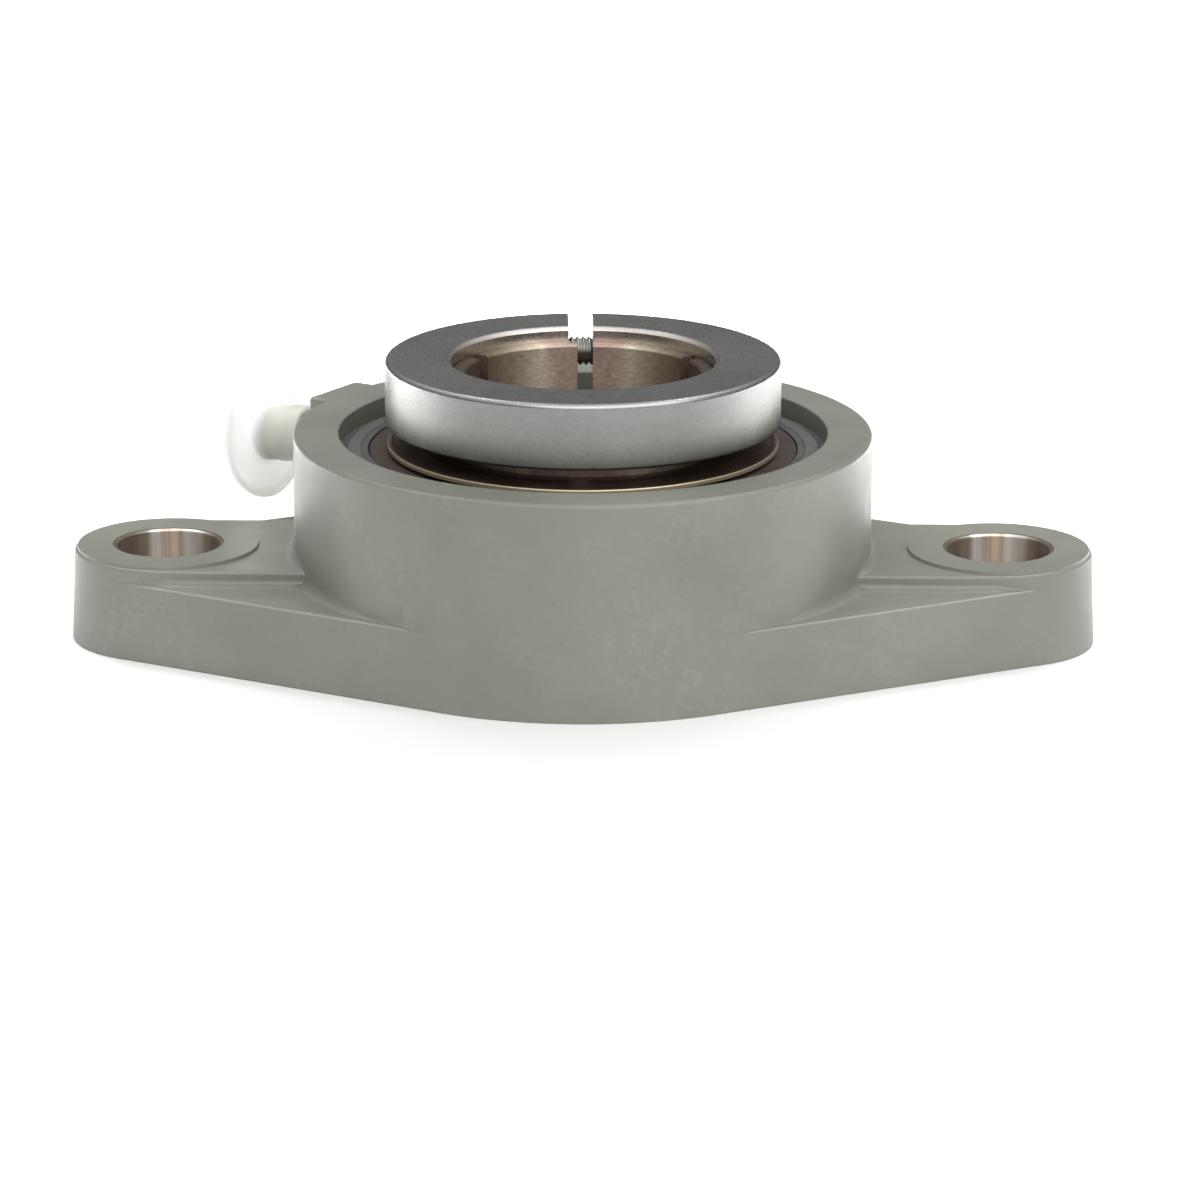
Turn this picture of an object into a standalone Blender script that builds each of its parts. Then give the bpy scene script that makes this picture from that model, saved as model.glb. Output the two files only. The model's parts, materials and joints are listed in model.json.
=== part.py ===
"""Two-bolt flange mount bearing, size 207, with a split clamping collar.

Run with: blender --background --python part.py
Metres, +Z up. The origin is on the shaft axis, at the housing's mounting face.
X runs through both bolt holes and the collar is on the +Z side.
"""

from math import cos, pi, radians, sin, sqrt, asin, atan2

import bmesh
import bpy
from mathutils import Matrix, Vector

MM = 0.001
OBJECT_NAME = "flange_mount_bearing"

# Driving dimensions of the housing, in millimetres.
BOLT_OFFSET = 65.1
END_RADIUS = 15.3
LEDGE_HEIGHT = 12.24
BOSS_HEIGHT = 15.0
BOSS_RADIUS = 14.25
WEB_HEIGHT = 14.5
WEB_INSET = 0.1
HUB_RADIUS = 45.15
HUB_HEIGHT = 33.7
HUB_EDGE = 0.5
RIM_BORE_RADIUS = 38.0
RIM_BORE_EDGE = 0.3
COVER_GROOVE_RADIUS = 36.7
COVER_GROOVE_DEPTH = 0.7
BACK_BORE_RADIUS = 37.0
BACK_BORE_DEPTH = 11.5
NOTCH_WIDTH = 20.8
NOTCH_GAP = 0.4
SEAT_GAP = 0.15

# Where the pieces of the housing meet inside each other before they are joined.
WALL_FOOT = 1.0
WALL_INNER_RADIUS = 38.0
WEB_ROOT = 4.0
WEB_OVERLAP = 2.0
BOSS_ROOT = 1.7
PAD_ROOT = 3.0
PAD_OVERLAP = 5.0
FACE_STEP = 0.04

# Bolt sleeves.
SLEEVE_BORE_RADIUS = 8.0
SLEEVE_RADIUS = 8.55
SLEEVE_GAP = 0.07
SLEEVE_RECESS = 0.15

# Grease fitting: its azimuth from +X, how far its outer end droops, and its pad's flat.
# The height is where its axis meets the pad. The droop leads the grease to the ring's own hole.
FITTING_AZIMUTH = radians(148.5)
FITTING_DROOP = radians(8.0)
FITTING_HEIGHT = 26.4
PAD_DISTANCE = 48.0
PAD_HALF_WIDTH = 6.4
SHANK_RADIUS = 3.0
SHANK_LENGTH = 7.4
SHANK_GAP = 0.08
SHANK_END_GAP = 0.2
GREASE_HOLE_RADIUS = 1.5
GREASE_HOLE_END = 32.0
RING_GREASE_HOLE_RADIUS = 0.9
RING_GREASE_HOLE_END = 28.0

# Along the fitting's axis, measured outwards from the pad.
BODY_START = 0.7
BODY_RADIUS = 2.9
BODY_END = 4.4
HEXAGON_FLATS = 7.0
HEXAGON_START = 0.55
HEXAGON_END = 3.9
NECK_RADIUS = 2.2
NECK_START = 5.2
NECK_END = 6.4
NIPPLE_RADIUS = 3.2
NIPPLE_START = 7.2
NIPPLE_SHOULDER = 8.2
NIPPLE_END = 9.8
NIPPLE_TIP_RADIUS = 1.6
PASSAGE_RADIUS = 1.45
PASSAGE_END = 6.9
PASSAGE_FOOT_RADIUS = 0.8
MOUTH_RADIUS = 0.9
MOUTH_START = 8.1
CAP_START = 4.2
CAP_LIP_END = 9.9
CAP_LIP_RADIUS = 4.55
CAP_SLEEVE_START = 10.2
CAP_SLEEVE_RADIUS = 4.35
CAP_INSIDE_RADIUS = 3.45
CAP_INSIDE_END = 12.2
CAP_INSIDE_TIP_RADIUS = 2.6
CAP_DISC_RADIUS = 10.5
CAP_DISC_START = 13.2
CAP_END = 14.5
CHECK_BALL_RADIUS = 1.3
CHECK_BALL_PLACE = 6.55
SPRING_TURNS = 5
SPRING_STEPS = 12
SPRING_RADIUS = 1.05
SPRING_WIRE_RADIUS = 0.17
SPRING_START = 0.92
SPRING_END = 4.35

# Bearing insert. All rings are centred on the sphere's centre.
CENTRE_HEIGHT = 21.0
SPHERE_RADIUS = 36.0
OUTER_RING_HALF = 10.0
OUTER_LAND_RADIUS = 30.6
SEAL_BORE_RADIUS = 33.4
SEAL_POCKET_DEPTH = 1.8
BALL_COUNT = 9
BALL_RADIUS = 5.556
BALL_CIRCLE_RADIUS = 26.75
GROOVE_RADIUS = 5.7
CAGE_INNER_RADIUS = 24.3
CAGE_OUTER_RADIUS = 29.4
CAGE_FLOOR = 6.7
CAGE_TOP = 2.2
POCKET_RADIUS = 5.85
BORE_RADIUS = 18.256
BORE_EDGE = 0.5
INNER_END_EDGE = 0.4
INNER_LAND_RADIUS = 22.5
INNER_RING_BOTTOM = 3.5
INNER_RING_TOP = 42.9
NECK_HEIGHT = 33.2
FINGER_RADIUS = 20.45
FINGER_EDGE = 0.3
FINGER_SLOT_WIDTH = 2.46
FINGER_SLOT_BOTTOM = 34.2
FINGER_SLOT_CUTS = 3
SEAL_GAP = 0.15
SEAL_THICKNESS = 1.5
SEAL_RECESS = 0.1
SEAL_LIP_RADIUS = 22.85
FLINGER_RADIUS = 30.48
FLINGER_BORE_RADIUS = 22.62
FLINGER_THICKNESS = 0.8
FLINGER_GAP = 0.3

# Clamping collar and its screw.
COLLAR_RADIUS = 30.77
COLLAR_BORE_RADIUS = 20.55
COLLAR_BOTTOM = 35.05
COLLAR_TOP = 45.25
COLLAR_OUTER_EDGE = 0.85
COLLAR_LOWER_EDGE = 0.4
COLLAR_INNER_EDGE = 0.6
COLLAR_TURN = radians(2.0)
COLLAR_SPLIT = 3.9
SCREW_DISTANCE = 25.5
SCREW_SHANK_RADIUS = 2.3
SCREW_HOLE_GAP = 0.15
SCREW_HEAD_RADIUS = 3.9
SCREW_HEAD_START = 8.2
SCREW_HEAD_LENGTH = 4.8
SCREW_HEAD_EDGE = 0.4
SCREW_HEAD_GAP = 0.1
SCREW_TIP = -11.5
SCREW_TIP_EDGE = 0.5
SCREW_TIP_GAP = 1.0
SCREW_SOCKET_FLATS = 4.0
SCREW_SOCKET_DEPTH = 2.4
COUNTERBORE_GAP = 0.3
COUNTERBORE_END = 30.0

# Facets round a full turn.
RING_STEPS = 72
HOLE_STEPS = 36
SMALL_STEPS = 24
BALL_STEPS = 16
BALL_RINGS = 10
ARC_STEPS = 6


def clear_scene():
    """Remove what the start-up file holds."""
    for obj in list(bpy.data.objects):
        bpy.data.objects.remove(obj, do_unlink=True)


def new_collection(name):
    """Make a collection under the scene's own."""
    collection = bpy.data.collections.new(name)
    bpy.context.scene.collection.children.link(collection)
    return collection


def material(name, colour, roughness, metallic):
    """Make a plain Principled material."""
    made = bpy.data.materials.new(name)
    made.use_nodes = True
    shader = made.node_tree.nodes["Principled BSDF"]
    shader.inputs["Base Color"].default_value = (*colour, 1.0)
    shader.inputs["Roughness"].default_value = roughness
    shader.inputs["Metallic"].default_value = metallic
    return made


def add_object(name, mesh, collection, surface=None):
    """Wrap a mesh in an object of the given collection."""
    obj = bpy.data.objects.new(name, mesh)
    collection.objects.link(obj)
    if surface is not None:
        obj.data.materials.append(surface)
    return obj


def smooth(obj):
    """Shade a round piece smooth and keep its corners sharp."""
    obj.data.shade_smooth()
    obj.data.set_sharp_from_angle(angle=radians(30.0))


def arc(centre, radius, start, end, steps):
    """Points of an arc in degrees, both ends included."""
    points = []
    for step in range(steps + 1):
        angle = radians(start + (end - start) * step / steps)
        points.append((centre[0] + radius * cos(angle), centre[1] + radius * sin(angle)))
    return points


def turned(name, profile, steps, collection, surface=None, closed=True):
    """Turn a profile of (radius, height) points in millimetres about Z."""
    mesh = bpy.data.meshes.new(name)
    points = [(radius * MM, 0.0, height * MM) for radius, height in profile]
    edges = [(index, index + 1) for index in range(len(points) - 1)]
    if closed:
        edges.append((len(points) - 1, 0))
    mesh.from_pydata(points, edges, [])
    obj = add_object(name, mesh, collection, surface)
    screw = obj.modifiers.new("turn", "SCREW")
    screw.axis = "Z"
    screw.steps = steps
    screw.render_steps = steps
    screw.use_merge_vertices = True
    screw.merge_threshold = 0.000001
    return obj


def extruded(name, outlines, bottom, top, collection, surface=None):
    """Raise flat outlines in millimetres between two heights; inner ones are holes."""
    curve = bpy.data.curves.new(name, "CURVE")
    curve.dimensions = "2D"
    curve.fill_mode = "BOTH"
    curve.extrude = (top - bottom) * MM / 2
    for outline in outlines:
        spline = curve.splines.new("POLY")
        spline.points.add(len(outline) - 1)
        for point, (x, y) in zip(spline.points, outline):
            point.co = (x * MM, y * MM, 0.0, 1.0)
        spline.use_cyclic_u = True
    guide = add_object(name + "_outline", curve, collection)
    guide.location.z = (top + bottom) * MM / 2
    bpy.context.view_layer.update()
    graph = bpy.context.evaluated_depsgraph_get()
    mesh = bpy.data.meshes.new_from_object(guide.evaluated_get(graph))
    weld_caps(mesh)
    obj = add_object(name, mesh, collection, surface)
    obj.matrix_world = guide.matrix_world.copy()
    bpy.data.objects.remove(guide, do_unlink=True)
    return obj


def weld_caps(mesh):
    """Join the loose caps of a curve's mesh to its walls, and merge flat faces."""
    work = bmesh.new()
    work.from_mesh(mesh)
    bmesh.ops.remove_doubles(work, verts=work.verts, dist=0.000001)
    bmesh.ops.dissolve_limit(work, angle_limit=radians(0.1), verts=work.verts, edges=work.edges)
    bmesh.ops.recalc_face_normals(work, faces=work.faces)
    work.to_mesh(mesh)
    work.free()


def block(name, size, centre, collection, turn=0.0):
    """A box in millimetres, turned about Z through its own centre."""
    work = bmesh.new()
    bmesh.ops.create_cube(work, size=1.0)
    bmesh.ops.scale(work, vec=Vector(size) * MM, verts=work.verts)
    mesh = bpy.data.meshes.new(name)
    work.to_mesh(mesh)
    work.free()
    obj = add_object(name, mesh, collection)
    obj.matrix_world = Matrix.Translation(Vector(centre) * MM) @ Matrix.Rotation(turn, 4, "Z")
    return obj


def prism(name, sides, radius, bottom, top, collection):
    """A straight prism or cylinder about Z in millimetres."""
    work = bmesh.new()
    bmesh.ops.create_cone(work, cap_ends=True, segments=sides, radius1=radius * MM,
                          radius2=radius * MM, depth=(top - bottom) * MM)
    bmesh.ops.translate(work, vec=(0.0, 0.0, (top + bottom) * MM / 2), verts=work.verts)
    mesh = bpy.data.meshes.new(name)
    work.to_mesh(mesh)
    work.free()
    return add_object(name, mesh, collection)


def ball(name, radius, steps, rings, collection, surface=None):
    """A ball about its own origin, with its poles on Z."""
    work = bmesh.new()
    bmesh.ops.create_uvsphere(work, u_segments=steps, v_segments=rings, radius=radius * MM)
    mesh = bpy.data.meshes.new(name)
    work.to_mesh(mesh)
    work.free()
    return add_object(name, mesh, collection, surface)


def combine(obj, tool, operation):
    """Join a tool to an object, or cut it away, and keep the tool as a guide."""
    change = obj.modifiers.new(operation.lower() + "_" + tool.name, "BOOLEAN")
    change.operation = operation
    change.solver = "EXACT"
    change.object = tool
    tool.hide_render = True
    tool.display_type = "WIRE"


def fitting_frame():
    """The frame of the grease fitting: at its pad, with Z pointing out along its axis."""
    level = Vector((cos(FITTING_AZIMUTH), sin(FITTING_AZIMUTH), 0.0))
    outward = level * cos(FITTING_DROOP) - Vector((0.0, 0.0, sin(FITTING_DROOP)))
    turn = Vector((0.0, 0.0, 1.0)).rotation_difference(outward).to_matrix().to_4x4()
    place = level * PAD_DISTANCE + Vector((0.0, 0.0, FITTING_HEIGHT))
    return Matrix.Translation(place * MM) @ turn


def flange_outline(end_radius, middle_radius):
    """The rhombic outline: two end arcs, the middle arcs and their tangents."""
    lean = asin((middle_radius - end_radius) / BOLT_OFFSET) * 180 / pi
    outline = arc((BOLT_OFFSET, 0.0), end_radius, lean - 90, 90 - lean, 2 * ARC_STEPS)
    outline += arc((0.0, 0.0), middle_radius, 90 - lean, 90 + lean, ARC_STEPS)
    outline += arc((-BOLT_OFFSET, 0.0), end_radius, 90 + lean, 270 - lean, 2 * ARC_STEPS)
    outline += arc((0.0, 0.0), middle_radius, 270 - lean, 270 + lean, ARC_STEPS)
    return outline


def web_outline(side):
    """One raised web: an arc round the bolt hole, and straight sides into the hub's wall."""
    half = END_RADIUS - WEB_INSET
    hub_x = sqrt((HUB_RADIUS - WEB_OVERLAP) ** 2 - half ** 2)
    outline = [(hub_x, -half)]
    outline += arc((BOLT_OFFSET, 0.0), half, -90, 90, 2 * ARC_STEPS)
    outline += [(hub_x, half)]
    return [(side * x, side * y) for x, y in outline]


def hub_profile():
    """The hub's wall from the rim down, and back up through its spherical seat."""
    seat = SPHERE_RADIUS + SEAT_GAP
    ledge = CENTRE_HEIGHT + OUTER_RING_HALF
    top_angle = asin(OUTER_RING_HALF / seat) * 180 / pi
    bottom_angle = asin((BACK_BORE_DEPTH - CENTRE_HEIGHT) / seat) * 180 / pi
    profile = [
        (HUB_RADIUS - HUB_EDGE, HUB_HEIGHT), (HUB_RADIUS, HUB_HEIGHT - HUB_EDGE),
        (HUB_RADIUS, WALL_FOOT), (WALL_INNER_RADIUS, WALL_FOOT), (WALL_INNER_RADIUS, BACK_BORE_DEPTH),
    ]
    profile += arc((0.0, CENTRE_HEIGHT), seat, bottom_angle, top_angle, ARC_STEPS)
    profile += [
        (COVER_GROOVE_RADIUS, ledge), (COVER_GROOVE_RADIUS, ledge - COVER_GROOVE_DEPTH),
        (RIM_BORE_RADIUS, ledge - COVER_GROOVE_DEPTH), (RIM_BORE_RADIUS, HUB_HEIGHT - RIM_BORE_EDGE),
        (RIM_BORE_RADIUS + RIM_BORE_EDGE, HUB_HEIGHT),
    ]
    return profile


def make_pad(cutters):
    """The flat-faced pad on the hub that carries the grease fitting."""
    inner = HUB_RADIUS - PAD_OVERLAP
    top = HUB_HEIGHT - FACE_STEP
    bottom = LEDGE_HEIGHT - PAD_ROOT
    pad = block("fitting_pad", (PAD_DISTANCE - inner, 2 * PAD_HALF_WIDTH, top - bottom),
                (0.0, 0.0, 0.0), cutters)
    centre = Vector(((PAD_DISTANCE + inner) / 2, 0.0, (top + bottom) / 2)) * MM
    pad.matrix_world = Matrix.Rotation(FITTING_AZIMUTH, 4, "Z") @ Matrix.Translation(centre)
    return pad


def make_housing(parts, cutters, surface):
    """The moulded housing: flange, webs, bosses, hub, fitting pad, seat and holes."""
    housing = turned("housing", hub_profile(), RING_STEPS, parts, surface)
    back_bore = arc((0.0, 0.0), BACK_BORE_RADIUS, 0, 360, HOLE_STEPS)[:-1]
    flange = extruded("flange_plate",
                      [flange_outline(END_RADIUS, HUB_RADIUS + FACE_STEP), back_bore],
                      0.0, LEDGE_HEIGHT, cutters)
    combine(housing, flange, "UNION")
    for side, label in ((-1, "left"), (1, "right")):
        web = extruded("raised_web_" + label, [web_outline(side)],
                       LEDGE_HEIGHT - WEB_ROOT, WEB_HEIGHT, cutters)
        combine(housing, web, "UNION")
        boss = prism("boss_" + label, HOLE_STEPS, BOSS_RADIUS, WEB_HEIGHT - BOSS_ROOT, BOSS_HEIGHT,
                     cutters)
        boss.location.x = side * BOLT_OFFSET * MM
        combine(housing, boss, "UNION")
    combine(housing, make_pad(cutters), "UNION")
    notch = block("loading_notches",
                  (NOTCH_WIDTH, 2 * (SPHERE_RADIUS + NOTCH_GAP), CENTRE_HEIGHT + 1.0),
                  (0.0, 0.0, (CENTRE_HEIGHT - 1.0) / 2), cutters)
    combine(housing, notch, "DIFFERENCE")
    for side, label in ((-1, "left"), (1, "right")):
        hole = prism("bolt_hole_" + label, HOLE_STEPS, SLEEVE_RADIUS + SLEEVE_GAP,
                     -1.0, BOSS_HEIGHT + 1.0, cutters)
        hole.location.x = side * BOLT_OFFSET * MM
        combine(housing, hole, "DIFFERENCE")
    hole_radius = SHANK_RADIUS + SHANK_GAP
    hole_floor = -SHANK_LENGTH - SHANK_END_GAP
    far_end = GREASE_HOLE_END - PAD_DISTANCE
    drill = turned("fitting_hole", [
        (0.0, 2.0), (hole_radius, 2.0), (hole_radius, hole_floor), (GREASE_HOLE_RADIUS, hole_floor),
        (GREASE_HOLE_RADIUS, far_end), (0.0, far_end),
    ], SMALL_STEPS, cutters, closed=False)
    drill.matrix_world = fitting_frame()
    combine(housing, drill, "DIFFERENCE")


def make_sleeves(parts, surface):
    """A metal sleeve in each bolt hole."""
    top = BOSS_HEIGHT - SLEEVE_RECESS
    for side, label in ((-1, "left"), (1, "right")):
        sleeve = turned("bolt_sleeve_" + label, [
            (SLEEVE_RADIUS, top), (SLEEVE_RADIUS, SLEEVE_RECESS),
            (SLEEVE_BORE_RADIUS, SLEEVE_RECESS), (SLEEVE_BORE_RADIUS, top),
        ], HOLE_STEPS, parts, surface)
        sleeve.location.x = side * BOLT_OFFSET * MM


def make_fitting(parts, cutters, steel, zinc):
    """The grease fitting, with its check ball and spring."""
    frame = fitting_frame()
    fitting = turned("grease_fitting", [
        (MOUTH_RADIUS, NIPPLE_END), (NIPPLE_TIP_RADIUS, NIPPLE_END), (NIPPLE_RADIUS, NIPPLE_SHOULDER),
        (NIPPLE_RADIUS, NIPPLE_START), (NECK_RADIUS, NECK_END), (NECK_RADIUS, NECK_START),
        (BODY_RADIUS, BODY_END), (BODY_RADIUS, BODY_START), (SHANK_RADIUS, BODY_START),
        (SHANK_RADIUS, -SHANK_LENGTH), (PASSAGE_FOOT_RADIUS, -SHANK_LENGTH),
        (PASSAGE_FOOT_RADIUS, BODY_START), (PASSAGE_RADIUS, BODY_START),
        (PASSAGE_RADIUS, PASSAGE_END), (MOUTH_RADIUS, MOUTH_START),
    ], SMALL_STEPS, parts, zinc)
    fitting.matrix_world = frame
    hexagon = prism("fitting_hexagon", 6, HEXAGON_FLATS / sqrt(3), HEXAGON_START, HEXAGON_END, cutters)
    hexagon_bore = prism("fitting_hexagon_bore", SMALL_STEPS, (PASSAGE_RADIUS + BODY_RADIUS) / 2,
                         BODY_START - 1.0, HEXAGON_END + 1.0, cutters)
    hexagon.matrix_world = frame
    hexagon_bore.matrix_world = frame
    combine(hexagon, hexagon_bore, "DIFFERENCE")
    combine(fitting, hexagon, "UNION")
    check_ball = ball("grease_check_ball", CHECK_BALL_RADIUS, BALL_STEPS, BALL_RINGS, parts, steel)
    check_ball.matrix_world = frame @ Matrix.Translation((0.0, 0.0, CHECK_BALL_PLACE * MM))
    make_check_spring(parts, zinc, frame)


def make_cap(parts, plastic):
    """The push-on cap: a disc, and a sleeve with a thicker lip."""
    cap = turned("grease_cap", [
        (0.0, CAP_END), (CAP_DISC_RADIUS - 1.0, CAP_END), (CAP_DISC_RADIUS, CAP_END - 0.4),
        (CAP_DISC_RADIUS, CAP_DISC_START + 0.2), (CAP_DISC_RADIUS - 0.2, CAP_DISC_START),
        (CAP_SLEEVE_RADIUS, CAP_DISC_START),
        (CAP_SLEEVE_RADIUS, CAP_SLEEVE_START), (CAP_LIP_RADIUS, CAP_LIP_END),
        (CAP_LIP_RADIUS, CAP_START), (CAP_INSIDE_RADIUS, CAP_START),
        (CAP_INSIDE_RADIUS, CAP_INSIDE_END), (CAP_INSIDE_TIP_RADIUS, CAP_DISC_START),
        (0.0, CAP_DISC_START),
    ], HOLE_STEPS, parts, plastic, closed=False)
    cap.matrix_world = fitting_frame()


def make_check_spring(parts, surface, frame):
    """The little coil spring that holds the check ball on its seat."""
    curve = bpy.data.curves.new("grease_check_spring", "CURVE")
    curve.dimensions = "3D"
    curve.bevel_depth = SPRING_WIRE_RADIUS * MM
    curve.bevel_resolution = 1
    curve.use_fill_caps = True
    spline = curve.splines.new("POLY")
    count = SPRING_TURNS * SPRING_STEPS
    spline.points.add(count)
    for index, point in enumerate(spline.points):
        angle = 2 * pi * index / SPRING_STEPS
        x = SPRING_RADIUS * cos(angle)
        y = SPRING_RADIUS * sin(angle)
        z = SPRING_START + (SPRING_END - SPRING_START) * index / count
        point.co = (x * MM, y * MM, z * MM, 1.0)
    spring = add_object("grease_check_spring", curve, parts, surface)
    spring.matrix_world = frame


def make_outer_ring(parts, cutters, surface):
    """The outer ring: spherical outside, ball groove and seal pockets inside."""
    rise = asin(OUTER_RING_HALF / SPHERE_RADIUS) * 180 / pi
    top = CENTRE_HEIGHT + OUTER_RING_HALF
    bottom = CENTRE_HEIGHT - OUTER_RING_HALF
    land = OUTER_LAND_RADIUS - BALL_CIRCLE_RADIUS
    groove = atan2(sqrt(GROOVE_RADIUS ** 2 - land ** 2), land) * 180 / pi
    profile = arc((0.0, CENTRE_HEIGHT), SPHERE_RADIUS, rise, -rise, ARC_STEPS)
    profile += [
        (SEAL_BORE_RADIUS, bottom), (SEAL_BORE_RADIUS, bottom + SEAL_POCKET_DEPTH),
        (OUTER_LAND_RADIUS, bottom + SEAL_POCKET_DEPTH),
    ]
    profile += arc((BALL_CIRCLE_RADIUS, CENTRE_HEIGHT), GROOVE_RADIUS, -groove, groove, ARC_STEPS)
    profile += [
        (OUTER_LAND_RADIUS, top - SEAL_POCKET_DEPTH), (SEAL_BORE_RADIUS, top - SEAL_POCKET_DEPTH),
        (SEAL_BORE_RADIUS, top),
    ]
    ring = turned("outer_ring", profile, RING_STEPS, parts, surface)
    drill = prism("outer_ring_grease_hole", BALL_STEPS, RING_GREASE_HOLE_RADIUS,
                  RING_GREASE_HOLE_END - PAD_DISTANCE, -SHANK_LENGTH, cutters)
    drill.matrix_world = fitting_frame()
    combine(ring, drill, "DIFFERENCE")


def make_inner_ring(parts, cutters, surface):
    """The inner ring: bore, ball groove, and a slotted neck for the collar."""
    land = BALL_CIRCLE_RADIUS - INNER_LAND_RADIUS
    groove = atan2(sqrt(GROOVE_RADIUS ** 2 - land ** 2), land) * 180 / pi
    profile = [
        (FINGER_RADIUS - FINGER_EDGE, INNER_RING_TOP), (FINGER_RADIUS, INNER_RING_TOP - FINGER_EDGE),
        (FINGER_RADIUS, NECK_HEIGHT), (INNER_LAND_RADIUS, NECK_HEIGHT),
    ]
    profile += arc((BALL_CIRCLE_RADIUS, CENTRE_HEIGHT), GROOVE_RADIUS,
                   180 - groove, 180 + groove, ARC_STEPS)
    profile += [
        (INNER_LAND_RADIUS, INNER_RING_BOTTOM + INNER_END_EDGE),
        (INNER_LAND_RADIUS - INNER_END_EDGE, INNER_RING_BOTTOM),
        (BORE_RADIUS + BORE_EDGE, INNER_RING_BOTTOM), (BORE_RADIUS, INNER_RING_BOTTOM + BORE_EDGE),
        (BORE_RADIUS, INNER_RING_TOP - BORE_EDGE), (BORE_RADIUS + BORE_EDGE, INNER_RING_TOP),
    ]
    ring = turned("inner_ring", profile, RING_STEPS, parts, surface)
    height = INNER_RING_TOP + 2.0 - FINGER_SLOT_BOTTOM
    for index in range(FINGER_SLOT_CUTS):
        slot = block("finger_slot_%d" % (index + 1),
                     (2 * FINGER_RADIUS + 6.0, FINGER_SLOT_WIDTH, height),
                     (0.0, 0.0, FINGER_SLOT_BOTTOM + height / 2), cutters,
                     radians(90.0 + 180.0 * index / FINGER_SLOT_CUTS))
        combine(ring, slot, "DIFFERENCE")


def make_balls_and_cage(parts, cutters, steel, nylon):
    """Nine balls, and the cage that is open towards the collar."""
    cage = turned("cage", [
        (CAGE_OUTER_RADIUS, CENTRE_HEIGHT + CAGE_TOP), (CAGE_OUTER_RADIUS, CENTRE_HEIGHT - CAGE_FLOOR),
        (CAGE_INNER_RADIUS, CENTRE_HEIGHT - CAGE_FLOOR), (CAGE_INNER_RADIUS, CENTRE_HEIGHT + CAGE_TOP),
    ], RING_STEPS, parts, nylon)
    for index in range(BALL_COUNT):
        angle = 2 * pi * index / BALL_COUNT
        outward = Vector((cos(angle), sin(angle), 0.0))
        place = (outward * BALL_CIRCLE_RADIUS + Vector((0.0, 0.0, CENTRE_HEIGHT))) * MM
        rolling = ball("ball_%d" % (index + 1), BALL_RADIUS, BALL_STEPS, BALL_RINGS, parts, steel)
        rolling.location = place
        pocket = ball("cage_pocket_%d" % (index + 1), POCKET_RADIUS, BALL_STEPS, BALL_RINGS, cutters)
        pocket.location = place
        combine(cage, pocket, "DIFFERENCE")


def make_seals(parts, rubber, zinc):
    """A seal in the outer ring and a flinger on the inner ring, on each side."""
    for side, label in ((1, "front"), (-1, "back")):
        face = CENTRE_HEIGHT + side * (OUTER_RING_HALF - SEAL_RECESS)
        under = face - side * SEAL_THICKNESS
        top, bottom = max(face, under), min(face, under)
        turned("seal_" + label, [
            (SEAL_BORE_RADIUS - SEAL_GAP, top), (SEAL_BORE_RADIUS - SEAL_GAP, bottom),
            (SEAL_LIP_RADIUS, bottom), (SEAL_LIP_RADIUS, top),
        ], RING_STEPS, parts, rubber)
        near = CENTRE_HEIGHT + side * (OUTER_RING_HALF + FLINGER_GAP)
        far = near + side * FLINGER_THICKNESS
        top, bottom = max(near, far), min(near, far)
        turned("flinger_" + label, [
            (FLINGER_RADIUS, top), (FLINGER_RADIUS, bottom),
            (FLINGER_BORE_RADIUS, bottom), (FLINGER_BORE_RADIUS, top),
        ], RING_STEPS, parts, zinc)


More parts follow.
